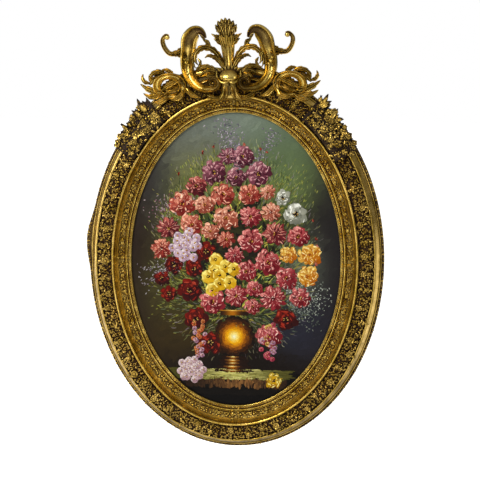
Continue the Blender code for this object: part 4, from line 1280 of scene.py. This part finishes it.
def touch(x, y, angle, length, width, colour, other=None, bend=0.0, lift=0.3, thick=0.35):
    """One stroke centred on a point, along an angle in degrees, with its two paints."""
    colour = colour_of(colour) if isinstance(colour, str) else np.asarray(colour)
    other = colour if other is None else other
    other = colour_of(other) if isinstance(other, str) else np.asarray(other)
    STROKES.append((x, y, radians(angle), length, width, bend, lift, thick, *colour, *other))


def blend(a, b, share):
    """Mix two colours, each a hex code or parts."""
    a = colour_of(a) if isinstance(a, str) else a
    b = colour_of(b) if isinstance(b, str) else b
    return a * (1 - share) + b * share


def inside(x, y, margin=0.0):
    """Whether a point lies in the sight opening."""
    return (x / (245 - margin)) ** 2 + (y / (345 - margin)) ** 2 < 1

# %% [markdown]
# ## Ground
# The ground goes from blue-green at the top through olive to brown-black. A painter lays
# in a few large soft areas and scumbles over them, and so does this: each area is a middle,
# two reaches and a paint.

# %% Ground
AREAS = [(0, 330, 120, 70, "747E72"), (-95, 262, 80, 70, "5E615A"), (110, 255, 80, 80, "56664C"),
         (-225, 60, 55, 230, "241812"), (228, 50, 55, 250, "1E1A1C"), (-132, 92, 52, 74, "6A6C34"),
         (-192, 176, 46, 84, "34363A"),
         (105, 190, 84, 64, "647440"), (-60, 200, 80, 58, "7A7A38"), (0, 40, 140, 150, "2A2A14"),
         (166, -10, 40, 66, "68705E"), (165, -150, 66, 74, "22222E"), (-150, -190, 74, 60, "33270F"),
         (-174, -50, 48, 76, "48451F"), (0, -255, 190, 36, "120A05"), (0, -335, 260, 40, "040201")]


def ground_colour(x, y):
    """Colour of the ground: soft overlapping areas."""
    x, y = np.asarray(x, float), np.asarray(y, float)
    total = np.full(x.shape + (3,), 1e-6)
    weight = np.full(x.shape, 1e-4)
    for cx, cy, rx, ry, code in AREAS:
        share = np.exp(-((x - cx) / rx) ** 2 - ((y - cy) / ry) ** 2)
        total += share[..., None] * colour_of(code)
        weight += share
    return total / weight[..., None]


def paint_ground(chance, count=820):
    """Scumbled ground: long soft strokes close to the tone beneath them."""
    for k in range(count):
        x, y = chance.uniform(-243, 243), chance.uniform(-343, 343)
        if not inside(x, y, 8):
            continue
        tone = ground_colour(x, y) * chance.uniform(0.93, 1.08)
        touch(x, y, 38 + chance.uniform(-40, 40), chance.uniform(18, 40), chance.uniform(8, 15), tone,
              tone * chance.uniform(0.96, 1.06), chance.uniform(-2, 2), 0.02 + 0.10 * k / count, 0.12)

# %% [markdown]
# ## Foliage
# Leaves fan out from the neck of the vase and fade into the ground at the outline. Thin
# quick strokes do it better than leaf shapes, which would look cut out.

# %% Foliage
GREENS = ("707A34", "8C923E", "4C5C2C", "32431D", "A8A54C", "5C7046", "222F15", "948238")


def paint_leaves(chance):
    """Feathery leaves fanned out from the bouquet, fading into the ground."""
    for k in range(2300):
        swing = chance.uniform(0, 2 * pi)
        reach = chance.uniform(0.2, 1.05) ** 0.7
        x, y = 172 * reach * cos(swing), 25 + 228 * reach * sin(swing)
        if y < -225 or not inside(x, y, 14):
            continue
        angle = degrees(atan2(y + 120, x)) + chance.uniform(-42, 42)
        fade = min(0.72, max(0.0, reach - 0.62) * 1.6)
        tone = blend(chance.choice(GREENS), ground_colour(x, y), fade) * chance.uniform(0.6, 1.15)
        touch(x, y, angle, chance.uniform(7, 24), chance.uniform(1.1, 3.6), tone,
              tone * chance.uniform(1.0, 1.4), chance.uniform(-3, 3),
              0.15 + 0.2 * k / 2300, chance.uniform(0.12, 0.3))
    for k in range(1500):
        swing = chance.uniform(0, 2 * pi)
        reach = chance.uniform(0.55, 1.14)
        x, y = 176 * reach * cos(swing), 20 + 236 * reach * sin(swing)
        if y < -235 or not inside(x, y, 16):
            continue
        angle = degrees(atan2(y + 120, x)) + chance.uniform(-24, 24)
        tone = blend(chance.choice(("98A268", "B4B070", "768664", "9E9098", "867682", "B8B48E")),
                     ground_colour(x, y), chance.uniform(0.3, 0.85))
        touch(x, y, angle, chance.uniform(4, 16), chance.uniform(0.8, 2.4), tone, None,
              chance.uniform(-2, 2), 0.36, chance.uniform(0.15, 0.35))
    # Sunlit tufts stand out where the ground shows through the bouquet's edge.
    for cx, cy, rx, ry in ((-146, 104, 22, 34), (-64, 214, 30, 17), (114, 178, 32, 26),
                           (-150, -66, 22, 40)):
        for k in range(165):
            x, y = cx + rx * chance.gauss(0, 1), cy + ry * chance.gauss(0, 1)
            tone = blend(chance.choice(("9AA03E", "B2B054", "7E8A36", "A8A04C", "8E9C50")),
                         ground_colour(x, y), chance.uniform(0.1, 0.6))
            if inside(x, y, 16):
                touch(x, y, degrees(atan2(y + 120, x)) + chance.uniform(-28, 28),
                      chance.uniform(5, 7.9), chance.uniform(1.0, 2.3), tone, None,
                      chance.uniform(-1, 1), 0.37, chance.uniform(0.15, 0.35))
    # Dark gaps between the blooms keep the bouquet deep.
    for k in range(330):
        swing = chance.uniform(0, 2 * pi)
        reach = chance.uniform(0, 0.8) ** 0.6
        x, y = 125 * reach * cos(swing), 20 + 165 * reach * sin(swing)
        touch(x, y, chance.uniform(0, 180), chance.uniform(10, 24), chance.uniform(4, 9),
              chance.choice(("1A160B", "1E1A10", "14110D", "22220F")), None, 1, 0.36, 0.15)

# %% [markdown]
# ## Blooms
# A bloom is rings of broad petals shaded toward its middle, a dark cleft beside each petal
# and light touches on the lit side. Four generic kinds differ only in their rings: reach,
# petals, length, width and slant.

# %% Blooms
def lit(x, y, cx, cy, radius):
    """How lit a point of a bloom is, with light from the upper left, from 0 to 1."""
    return min(1.0, max(0.0, 0.5 + (-(x - cx) * 0.4 + (y - cy) * 0.55) / radius))


def petal(chance, cx, cy, rho, swing, length, width, paints, radius, lift, slant):
    """One petal: a broad stroke shaded to the middle, with light touches at its tip."""
    dark, body, light, glow = paints
    x = cx + rho * cos(radians(swing))
    y = cy + rho * 0.92 * sin(radians(swing))
    glowing = lit(x, y, cx, cy, radius)
    tone = blend(body, light, min(1, glowing * chance.uniform(0.3, 1.3)))
    tone = blend(tone, dark, (1 - glowing) * chance.uniform(0.3, 0.9))
    angle = swing + slant
    touch(x, y, angle, length, width, tone, blend(tone, dark, chance.uniform(0.3, 0.75)),
          chance.uniform(-0.08, 0.08) * radius, lift, chance.uniform(0.3, 0.55))
    # The dark cleft beside the petal and the light edge on it.
    aside = radians(swing + 16)
    touch(cx + rho * 0.9 * cos(aside), cy + rho * 0.84 * sin(aside), angle + 6,
          length * 0.7, width * 0.22, blend(dark, body, 0.2), None, 0, lift + 0.02, 0.2)
    for j in range(4):
        if chance.random() < 0.15 + 0.7 * glowing:
            turn = radians(swing + chance.uniform(-7, 7))
            tip = rho + length * chance.uniform(-0.1, 0.2)
            touch(cx + tip * cos(turn), cy + tip * 0.92 * sin(turn),
                  angle + chance.uniform(-14, 14), length * chance.uniform(0.4, 0.7),
                  width * chance.uniform(0.14, 0.3), blend(light, glow, chance.random() ** 0.6),
                  light, radius * 0.02, lift + 0.08 + 0.03 * j, chance.uniform(0.3, 0.6))


LAYERS = {"peony": ((0.74, 12, 0.46, 0.34, 62), (0.52, 10, 0.42, 0.30, 30),
                    (0.26, 7, 0.36, 0.24, 80)),
          "dahlia": ((0.74, 15, 0.42, 0.28, 8), (0.54, 13, 0.38, 0.24, 10), (0.30, 10, 0.32, 0.19, 14)),
          "daisy": ((0.62, 14, 0.56, 0.26, 7), (0.46, 12, 0.50, 0.22, 9), (0.26, 9, 0.34, 0.18, 12)),
          "poppy": ((0.60, 7, 0.62, 0.56, 74), (0.36, 6, 0.50, 0.42, 80))}


def bloom(chance, cx, cy, radius, paints, kind):
    """One generic bloom of layered petals, with a ragged outline."""
    for k in range(12):
        swing = chance.uniform(0, 360)
        reach = radius * chance.uniform(0.1, 0.62)
        touch(cx + reach * cos(radians(swing)), cy + reach * sin(radians(swing)),
              swing + 90, radius * 0.7, radius * 0.4, paints[0], blend(paints[0], paints[1], 0.4),
              2, 0.42, 0.3)
    for layer, (ring, petals, length, width, slant) in enumerate(LAYERS[kind]):
        start = chance.uniform(0, 360)
        for k in range(petals):
            swing = start + 360 * k / petals + chance.uniform(-10, 10)
            petal(chance, cx, cy, radius * ring * chance.uniform(0.86, 1.1), swing,
                  radius * length * chance.uniform(0.8, 1.2), radius * width * chance.uniform(0.8, 1.2),
                  paints, radius, 0.55 + 0.16 * layer + chance.uniform(0, 0.06),
                  chance.choice((-1, 1)) * slant + chance.uniform(-12, 12))
    size = radius * (0.24 if kind == "poppy" else 0.17)
    hearts = {"poppy": ("120204", "D8B060"), "daisy": ("4A0E10", "E8C050"),
              "dahlia": (paints[0], paints[3]), "peony": (paints[0], "F0C050")}
    heart, stamen = hearts[kind]
    for k in range(5):
        touch(cx + chance.uniform(-0.5, 0.5) * size, cy + chance.uniform(-0.5, 0.5) * size,
              chance.uniform(0, 180), size * 1.2, size * 0.6, heart, None, 0, 1.15, 0.25)
    for k in range(5):
        swing = chance.uniform(0, 2 * pi)
        touch(cx + size * 0.6 * cos(swing), cy + size * 0.6 * sin(swing),
              degrees(swing), size * 0.5, size * 0.22, stamen, None, 0, 1.3, 0.5)

# %% [markdown]
# ## Florets and dabs
# Clusters are made of small round flowers, and lilac and seeding grass of loose dabs.

# %% Florets and dabs
def floret(chance, cx, cy, radius, body, light, dark, petals=5, heart="5A2A10"):
    """Small flower of round petals with a dark heart."""
    start = chance.uniform(0, 72)
    for k in range(petals):
        swing = start + 360 / petals * k + chance.uniform(-8, 8)
        x = cx + radius * 0.58 * cos(radians(swing))
        y = cy + radius * 0.58 * sin(radians(swing))
        glowing = lit(x, y, cx, cy, radius)
        mixed = blend(body, light, glowing * chance.uniform(0.6, 1))
        touch(x, y, swing + 90, radius * 0.95, radius * 0.72, mixed, blend(dark, body, 0.45), 0.8,
              0.8 + chance.uniform(0, 0.1), 0.5)
        if glowing > 0.5:
            touch(cx + (x - cx) * 1.25, cy + (y - cy) * 1.25, swing + 90, radius * 0.6, radius * 0.2,
                  light, None, 0.6, 1.05, 0.7)
    for k in range(3):
        touch(cx + chance.uniform(-1, 1), cy + chance.uniform(-1, 1), chance.uniform(0, 180),
              radius * 0.42, radius * 0.26, heart, None, 0, 1.1, 0.25)
    touch(cx - 0.6, cy + 0.8, 40, radius * 0.22, radius * 0.14, "F4D24A", None, 0, 1.3, 0.6)


def dabs(chance, x0, y0, x1, y1, spread, count, codes, size=3.2, lift=0.38):
    """Loose dabs along a line, as for lilac or grasses in seed."""
    for k in range(count):
        share = chance.random()
        wide = spread * (0.25 + 0.75 * share)
        x = x0 + (x1 - x0) * share + chance.gauss(0, 0.5) * wide
        y = y0 + (y1 - y0) * share + chance.gauss(0, 0.5) * wide
        if inside(x, y, 10):
            touch(x, y, chance.uniform(0, 180), size * chance.uniform(0.8, 1.7),
                  size * chance.uniform(0.4, 0.75), chance.choice(codes), None, 0.3,
                  lift + chance.uniform(0, 0.12), chance.uniform(0.3, 0.6))

# %% [markdown]
# ## Bouquet
# The blooms could be placed by hand, but the picture's own arrangement isn't copied. They
# are seeded on a spiral inside the outline and pushed apart until they only just overlap.
# Each takes its paints from where it came to rest: plum at the top, coral and rose in the
# middle, white and amber to the right, and dark reds in the lower corners.

# %% Places of the blooms
PAINTS = {
    "plum": ("2A0A14", "6C2A3C", "BC7C84", "F2D2C8"), "crimson": ("2A070C", "82222C", "D07466", "F8CCB4"),
    "coral": ("500F0E", "B4463C", "EC9C7E", "FFE6CA"), "salmon": ("64221A", "C46E54", "F2B494", "FFECD4"),
    "rose": ("46080F", "AA363E", "E68E84", "FFE2D2"), "ivory": ("4A4C40", "B4B4A0", "E6E4D4", "FFFFF8"),
    "amber": ("96400E", "D8A03C", "F4DA78", "FFF6C8"), "blood": ("170304", "50100C", "842018", "BC503C"),
}


def outline_half(y):
    """Half width of the bouquet at a height."""
    rise = (y + 150) / 400
    return 190 * sin(pi * min(1, max(0, rise * 0.84 + 0.18))) ** 0.7


def paints_for(chance, x, y):
    """The paints of a bloom, from the area it lies in."""
    if y > 165:
        return chance.choice(("plum", "crimson", "plum"))
    if x > 84 and y > 64:
        return chance.choice(("plum", "ivory", "crimson", "ivory"))
    if x > 104 and y > -62:
        return "amber" if -34 < y < 40 else chance.choice(("ivory", "rose"))
    if x < -56 and y < 22 or x > 84 and y < -96:
        return "blood"
    if y > 20:
        return chance.choice(("coral", "salmon", "rose", "coral", "crimson"))
    return "rose"


def settle_blooms(chance):
    """Seed the blooms on a spiral and push them apart inside the outline."""
    spots = []
    for k in range(47):
        swing, reach = 2.4 * k, sqrt((k + 0.5) / 47)
        y = 36 + 214 * reach * sin(swing)
        across = reach * cos(swing) / sqrt(max(0.02, 1 - (reach * sin(swing)) ** 2))
        spots.append([(across + chance.uniform(-0.08, 0.08)) * outline_half(y),
                      y + chance.uniform(-9, 9), chance.uniform(20, 33)])
    for step in range(140):
        for i, a in enumerate(spots):
            for b in spots[:i]:
                dx, dy = a[0] - b[0], a[1] - b[1]
                gap = hypot(dx, dy) + 1e-6
                push = (a[2] + b[2]) * 0.93 - gap
                if push > 0:
                    for one, way in ((a, 1), (b, -1)):
                        one[0] += way * dx / gap * push * 0.3
                        one[1] += way * dy / gap * push * 0.3
        for one in spots:
            # The vase, the cluster of yellow florets and the outline are kept clear.
            for cx, cy, clear in ((-2, -182, 74), (-38, -34, 48), (-116, 34, 34)):
                gap = hypot(one[0] - cx, one[1] - cy) + 1e-6
                if gap < clear + one[2] * 0.5:
                    one[0] += (one[0] - cx) / gap * 4
                    one[1] += (one[1] - cy) / gap * 4
            one[1] = min(244, max(-196, one[1]))
            half = max(30, outline_half(one[1])) - one[2] * 0.5
            one[0] = min(half, max(-half, one[0]))
    return sorted(spots, key=lambda s: -abs(s[0]) - 0.3 * s[1])

# %% [markdown]
# ## Painting the bouquet
# A painter works from the back to the front, and so does this: lilac and grasses, large
# blooms, clusters of small flowers, and last the thin stalks with their buds.

# %% Bouquet
def paint_bouquet(chance):
    """Loose sprays, blooms and florets, from the back of the bouquet to its front."""
    lilacs = ("948A94", "7E7282", "645A6C", "B4AAB2", "78707A", "504A58")
    for line in ((8, 216, -26, 322, 40, 330, lilacs, 3.6), (40, 220, 100, 308, 26, 170, lilacs),
                 (-98, 142, -188, 108, 42, 240, ("8A6470", "A88A90", "62404E", "B4A2A2", "6E3A46")),
                 (-120, -2, -206, -44, 42, 220, ("8E8088", "A89CA2", "6A5C62", "BCB4B4")),
                 (112, -50, 202, -92, 50, 330, ("9AA094", "848C7E", "C4C8BC", "666E62")),
                 (128, -96, 188, -138, 36, 150, ("6E766A", "949A8C", "525A50"))):
        dabs(chance, *line)
    for x, y, radius in settle_blooms(chance):
        name = paints_for(chance, x, y)
        kind = {"ivory": "poppy", "blood": "poppy", "amber": "peony"}.get(name)
        kind = kind or chance.choice(("peony", "dahlia", "peony", "daisy"))
        bloom(chance, x, y, radius * 1.06, PAINTS[name], kind)
    for k in range(9):
        swing, reach = 2.4 * k, 13 * k ** 0.5
        floret(chance, -38 + reach * cos(swing), -34 + reach * 1.15 * sin(swing), 18,
               "D8A82C", "FBEE8C", "8A5A10", 6, "3A1606")
    for k in range(20):
        swing, reach = 2.4 * k + chance.uniform(-0.3, 0.3), 7.8 * k ** 0.5
        floret(chance, -116 + reach * cos(swing), 34 + reach * sin(swing), 11.5,
               "B898A4", "F2E6E6", "6A4C66", 5, "8A5A20")
    for k in range(26):
        share = k / 25
        floret(chance, -84 + chance.uniform(-15, 15), -146 - 84 * share, 6.5,
               *chance.choice((("B8603A", "ECA870", "5A1E12"), ("A8788A", "E4C8C8", "4E3048"))))
        floret(chance, 78 + chance.uniform(-17, 17), -150 - 82 * share, 7,
               *chance.choice((("B88A34", "ECD884", "5A3A12"), ("9C6A80", "E0C4C8", "4E2A44"),
                               ("9A3044", "DC8488", "420C18"))))
    for k in range(15):
        swing = 2.4 * k + chance.uniform(-0.5, 0.5)
        x, y = 190 * cos(swing), 20 + 254 * sin(swing)
        if inside(x, y, 22) and y > -120:
            touch(x * 0.96, y * 0.96, degrees(atan2(y + 120, x)), 22, 1.1, "5A5E34", None, 2,
                  0.8, 0.3)
            for j in range(4):
                size = chance.uniform(3, 5.5)
                touch(x + chance.uniform(-2, 2), y + chance.uniform(-2, 2), chance.uniform(30, 150),
                      size * 1.5, size * 0.7, chance.choice(("8E3026", "A85A48", "5E1614", "B87A66")),
                      None, 0.5, 0.9, 0.5)

# %% [markdown]
# ## Vase
# The vase is round gilt metal: dark turned edges round a glowing middle. Strokes follow
# its roundness in rings, and the foot is a stack of short ones.

# %% Vase
def paint_vase(chance):
    """Round gilt vase: dark turned edges round a glowing middle, on a ringed foot."""
    cx, cy, radius = -2, -180, 46
    tones = [(0.0, "FFFBDC"), (0.14, "FFE98A"), (0.34, "F2B02C"), (0.54, "B0640E"), (0.74, "4A2406"),
             (1.0, "120803")]
    for k in range(560):
        rho = radius * (1 - (k + 0.5) / 560)
        swing = chance.uniform(0, 360)
        share = min(1.0, rho / radius * chance.uniform(0.9, 1.1))
        for (a, low), (b, high) in zip(tones, tones[1:]):
            if a <= share <= b:
                mixed = blend(low, high, (share - a) / (b - a))
        x, y = cx + rho * cos(radians(swing)), cy + rho * sin(radians(swing))
        touch(x, y, swing + 90 + chance.uniform(-30, 30), 6 + 0.22 * rho, 5 + 0.05 * rho, mixed,
              mixed * 0.86, -rho * 0.03, 0.5 + 0.4 * k / 560, 0.3)
    for k in range(34):
        x = cx - 31 + 62 * k / 33
        bright = exp(-((k - 14) / 9) ** 2)
        touch(x, cy + 56, 90, 11, 4, blend("1E0E04", "A8661C", bright), None, 0, 0.8, 0.3)
        touch(x, cy + 62, 0, 7, 2.6, blend("5E360E", "FAD070", bright), "B87820", 0, 1.0, 0.6)
    for row, (half, y) in enumerate(((26, -231), (32, -239), (29, -246), (37, -254), (43, -263))):
        for k in range(30):
            across = -1 + 2 * k / 29
            bright = exp(-((across + 0.1) / 0.34) ** 2)
            touch(cx + half * across, y + chance.uniform(-0.8, 0.8), 0, 7, 8,
                  blend("1C0C04", "A8641E" if row % 2 else "7A4414", bright), None, 0,
                  0.55 + 0.04 * row, 0.35)
        for k in range(10):
            across = -0.55 + 0.09 * k
            touch(cx + half * across, y + 2, 0, 9, 2, blend("6A3A10", "FBE08C",
                                                            exp(-((across + 0.12) / 0.25) ** 2)),
                  None, 0, 0.85, 0.5)

# %% [markdown]
# ## Ledge
# The stone ledge has a lit top, a darker front, and shadow beneath that cuts the front off
# cleanly. A few florets and one yellow bloom have dropped on it.

# %% Ledge
def paint_ledge(chance):
    """Stone ledge with a lit top, a darker front and shadow beneath."""
    for k in range(120):
        touch(chance.uniform(-170, 150), chance.uniform(-318, -262), chance.uniform(-4, 4), 30, 8,
              chance.choice(("070502", "0D0A05", "0E0A05")), None, 0, 0.3, 0.12)
    for k in range(220):
        x, y = chance.uniform(-116, 122), chance.uniform(-302, -281)
        bright = exp(-((x - 14) / 74) ** 2) * chance.uniform(0.45, 1.0)
        touch(x, y, 90 + chance.uniform(-9, 9), chance.uniform(9, 16), chance.uniform(4, 8),
              blend("22150A", "9A6C3C", bright), blend("1E120A", "7E5430", bright),
              0, 0.42 + 0.1 * k / 220, 0.3)
    # The shadow under the ledge cuts its front off along a clean edge.
    for k in range(60):
        touch(chance.uniform(-122, 126), chance.uniform(-318, -308), chance.uniform(-2, 2), 34, 8,
              "0B0704", "0F0A06", 0, 0.86, 0.1)
    for k in range(400):
        x, y = chance.uniform(-160, 130), chance.uniform(-283, -260)
        bright = exp(-((x + 6) / 92) ** 2) * chance.uniform(0.5, 1.1)
        touch(x, y, chance.uniform(-7, 7), chance.uniform(12, 32), chance.uniform(2, 4.4),
              blend("32320F", "BCB65E", min(1, bright)), blend("4A4418", "E8E09A", min(1, bright)),
              0, 0.44 + 0.1 * k / 400, 0.35)
    for k in range(26):
        swing, reach = 2.4 * k + chance.uniform(-0.3, 0.3), 6.4 * k ** 0.5
        x, y = -104 + reach * cos(swing), -262 + reach * 0.8 * sin(swing)
        if inside(x, y, 14):
            floret(chance, x, y, 10, "B8949A", "F0E4DE", "5A3C46", 6, "8A6A54")
    bloom(chance, 92, -284, 23, ("8A5A0C", "D2A42C", "F6E064", "FFF8BC"), "poppy")

# %% [markdown]
# ## Canvas
# The canvas is a thin oval plate. Its front carries the ground, its back is bare primed
# linen. A grid drawn into a disc keeps its faces even, where a fan of triangles would
# pinch in the middle.

# %% Canvas
def canvas_plate():
    """The canvas as arrays: an oval plate, with the ground's colour on its front."""
    obj = start("canvas_plate", bpy.ops.mesh.primitive_grid_add, x_subdivisions=52,
                y_subdivisions=72, size=2)
    points = points_of(obj)
    # The square grid is drawn into a disc, so that its rim is the oval's edge.
    square = points[:, :2]
    disc = square * np.sqrt(1 - square[:, ::-1] ** 2 / 2)
    points[:, 0], points[:, 1] = disc[:, 0] * 250 * MM, disc[:, 1] * 350 * MM
    points[:, 2] = CANVAS_TOP * MM
    thickness = {"TRANSFORM_OT_translate": {"value": (0, 0, -CANVAS_THICK * MM)}}
    edit(shape(obj, points), (bpy.ops.mesh.extrude_region_move, thickness), OUTWARD)
    points = points_of(obj)
    faces = [tuple(p.vertices) for p in obj.data.polygons]
    bpy.data.objects.remove(obj, do_unlink=True)
    paint = ground_colour(points[:, 0] / MM, points[:, 1] / MM)
    paint[points[:, 2] < (CANVAS_TOP - 0.5) * MM] = colour_of("B9A987")
    return points, faces, paint

# %% [markdown]
# ## Strokes as ridges
# Thousands of strokes are made at once with arrays, which takes a second where objects
# would take minutes. Each has three lanes and three to five stations, a ridge of paint
# pushed up at its end, and two paints that didn't quite mix. All stay clear of the
# liner's lip.

# %% Strokes as ridges
def stroke_group(chance, data, stations, start):
    """Strokes of like length as arrays, each with three lanes and its own stations."""
    count = len(data)
    shape_of = (count, stations, 3)
    x, y, angle, length, width, bend, lift, thick = (data[:, k, None, None] for k in range(8))
    s = np.linspace(-1, 1, stations)[None, :, None]
    u = np.array([-1, 0, 1])[None, None, :]
    taper = (1 - 0.6 * np.abs(s) ** 4) * (1 + 0.12 * chance.normal(size=shape_of))
    along = s * length / 2 * (1 + 0.06 * chance.normal(size=shape_of))
    across = u * width / 2 * taper + bend * (1 - s ** 2)
    across = across + chance.normal(size=shape_of) * 0.06 * width
    px = x + along * np.cos(angle) - across * np.sin(angle)
    py = y + along * np.sin(angle) + across * np.cos(angle)
    ridge = (1 - np.abs(u) ** 2) * (1 - 0.7 * np.abs(s) ** 4) + 0.3 * np.exp(-((s - 0.75) / 0.25) ** 2)
    pz = lift + thick * ridge * (1 + 0.3 * chance.normal(size=shape_of))
    # Near the sight edge the paint thins out, so that nothing lifts the liner.
    edge = np.sqrt((px / 245) ** 2 + (py / 345) ** 2)
    pull = np.where(edge > 0.992, 0.992 / edge, 1)
    room = np.clip((0.995 - edge) / 0.02, 0, 1)
    pz = np.minimum(pz, 0.12 + 2.4 * room) + CANVAS_TOP
    points = np.stack([px * pull, py * pull, pz], -1).reshape(-1, 3) * MM
    first, second = data[:, None, None, 8:11], data[:, None, None, 11:14]
    streak = 0.35 + 0.34 * chance.normal(size=(count, 1, 3)) + 0.16 * chance.normal(size=shape_of)
    paint = np.clip(first + (second - first) * np.clip(streak, 0, 1)[..., None], 0, 1).reshape(-1, 3)
    grid = start + np.arange(count * stations * 3).reshape(shape_of)
    quads = np.stack([grid[:, :-1, :-1], grid[:, 1:, :-1], grid[:, 1:, 1:], grid[:, :-1, 1:]], -1)
    shift = chance.uniform(0, 500, (count, 1, 1))
    brush = np.stack([s * length / 2 + shift + 0 * u, u * width / 2 + shift + 0 * s], -1).reshape(-1, 2)
    return points, quads.reshape(-1, 4), paint, brush


def stroke_arrays():
    """All strokes as arrays: points, faces, paints and brush coordinates."""
    chance = np.random.default_rng(4)
    data = np.array(STROKES)
    groups, start = [], 0
    for low, high, stations in ((0, 8, 3), (8, 15, 4), (15, 999, 5)):
        chosen = data[(data[:, 3] >= low) & (data[:, 3] < high)]
        groups.append(stroke_group(chance, chosen, stations, start))
        start += len(groups[-1][0])
    return [np.concatenate(column) for column in zip(*groups)]


def build_painting(name):
    """Canvas and strokes as one piece, with the paint as a point colour and brush UVs."""
    points, faces, paint = canvas_plate()
    more_points, more_faces, more_paint, brush = stroke_arrays()
    step = len(points)
    faces += [tuple(v + step for v in face) for face in more_faces.tolist()]
    brush = np.concatenate([points[:, :2] / MM, brush])
    mesh = bpy.data.meshes.new(name)
    mesh.from_pydata(np.concatenate([points, more_points]).tolist(), [], faces)
    paint = np.concatenate([paint, more_paint])
    paint = np.where(paint <= 0.04045, paint / 12.92, ((paint + 0.055) / 1.055) ** 2.4)
    colours = np.concatenate([paint, np.ones((len(paint), 1))], 1).astype(np.float32)
    mesh.color_attributes.new("paint", "FLOAT_COLOR", "POINT").data.foreach_set("color", colours.ravel())
    corners = np.array([v for face in faces for v in face])
    mesh.uv_layers.new(name="brush").data.foreach_set("uv", brush[corners].astype(np.float32).ravel())
    obj = bpy.data.objects.new(name, mesh)
    bpy.context.scene.collection.objects.link(obj)
    only(obj)
    bpy.ops.object.shade_smooth_by_angle(angle=radians(40))
    return obj

# %% [markdown]
# ## Oil paint
# Varnished oil paint has bristle streaks along each stroke and a soft gloss, and lets the
# canvas weave show where it is thin. The streaks read the stroke's own UV, so they follow
# its turn. Real threads are half a millimetre apart; the weave is drawn coarser, at
# 1.7 mm, so that it shows at all.

# %% Oil paint
THREADS = 180.0  # waves a metre
GRAIN = 700.0  # noise cells a metre: 1.4 mm


def oil_paint():
    """Varnished oil paint: bristle streaks along each stroke, canvas weave, soft gloss."""
    made, tree, shader, where = new_material("varnished oil paint")
    paint = node(tree, "Attribute", {"attribute_name": "paint"}, "Color")
    brush = node(tree, "UVMap", {"uv_map": "brush"})
    long = node(tree, "Mapping", Vector=brush, Scale=(0.12, 1.9, 1.0))
    bristle = node(tree, "TexNoise", Vector=long, Scale=1.0, Detail=4.0, Roughness=0.65)
    grain = node(tree, "TexNoise", Vector=where, Scale=GRAIN, Detail=3.0)
    warp, weft = (node(tree, "TexWave", {"bands_direction": way}, "Fac", Vector=where, Scale=THREADS,
                       Distortion=1.5) for way in ("X", "Z"))
    level = node(tree, "MapRange", Value=bristle, From_Min=0.3, From_Max=0.7, To_Min=0.62, To_Max=1.12)
    ridges = node(tree, "Bump", Height=bristle, Strength=0.5, Distance=0.0006)
    feed(tree, shader, Specular_IOR_Level=0.1,
         Base_Color=node(tree, "HueSaturation", Color=paint, Value=level, Saturation=1.04),
         Roughness=node(tree, "MapRange", Value=grain, To_Min=0.3, To_Max=0.55),
         Normal=node(tree, "Bump", Height=node(tree, "Math", PLUS, i0=warp, i1=weft), Normal=ridges,
                     Strength=0.35, Distance=0.0002))
    return made

# %% [markdown]
# ## Picture as one piece
# One source of chance paints from the ground up, so the picture comes out the same each
# time. The plate and all the strokes become one mesh that carries its own colours.

# %% Painting
painter = random.Random(77)
paint_ground(painter)
paint_leaves(painter)
paint_bouquet(painter)
paint_vase(painter)
paint_ledge(painter)
print("strokes", len(STROKES))
deliver(stand(build_painting("canvas_painted")), oil_paint(), "oil_paint", "canvas")

# %% [markdown]
# ## Strainer
# The strainer behind the canvas has its right shape already and stays as packed. Its wood
# is bare sawn pine, darkened with age: pale ochre with thin brown growth lines along each
# bar, dull, and darker in the corners and hollows. Growth lines are drawn about 15 mm apart.

# %% Strainer
def old_pine():
    """Bare pine gone brown: growth lines along the bars, fine pores, darker in the corners."""
    made, tree, shader, where = new_material("old bare pine")
    drawn = node(tree, "Mapping", Vector=where, Scale=(9.0, 60.0, 60.0))
    lines = node(tree, "TexWave", {"bands_direction": "Z"}, "Fac", Vector=drawn, Scale=0.55,
                 Distortion=7.0, Detail=3.0)
    pores = node(tree, "TexNoise", Vector=drawn, Scale=9.0, Detail=5.0, Roughness=0.7)
    cloud = node(tree, "TexNoise", Vector=where, Scale=11.0, Detail=3.0)
    wood = node(tree, "ValToRGB", {"stops": [(0.1, "A98557"), (0.6, "9A7446"), (0.95, "75522E")]},
                Fac=lines)
    wood = node(tree, "Mix", COLOURS, 2, i0=node(tree, "Math", TIMES, i0=pores, i1=0.5), i6=wood,
                i7="6B4A2A")
    # Corners and hollows are darkened by their occlusion, with cloudy mottling over all.
    shade = node(tree, "AmbientOcclusion", {"samples": 6}, "AO", Distance=0.012)
    corner_darkening = node(tree, "Math", TIMES | CLAMP, i0=node(tree, "Math", MINUS, i0=1.0, i1=shade), i1=0.9)
    darkening_and_mottle = node(tree, "Math", PLUS | CLAMP, i0=corner_darkening, i1=node(tree, "Math", TIMES, i0=cloud, i1=0.3))
    feed(tree, shader, Roughness=0.78, Specular_IOR_Level=0.3,
         Base_Color=node(tree, "Mix", COLOURS, 2, i0=darkening_and_mottle, i6=wood, i7="3A2817"),
         Normal=node(tree, "Bump", Height=lines, Strength=0.3, Distance=0.0006))
    return made


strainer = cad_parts["strainer"]
for slot in strainer.material_slots:
    slot.material = old_pine()
print("strainer slots", len(strainer.material_slots))
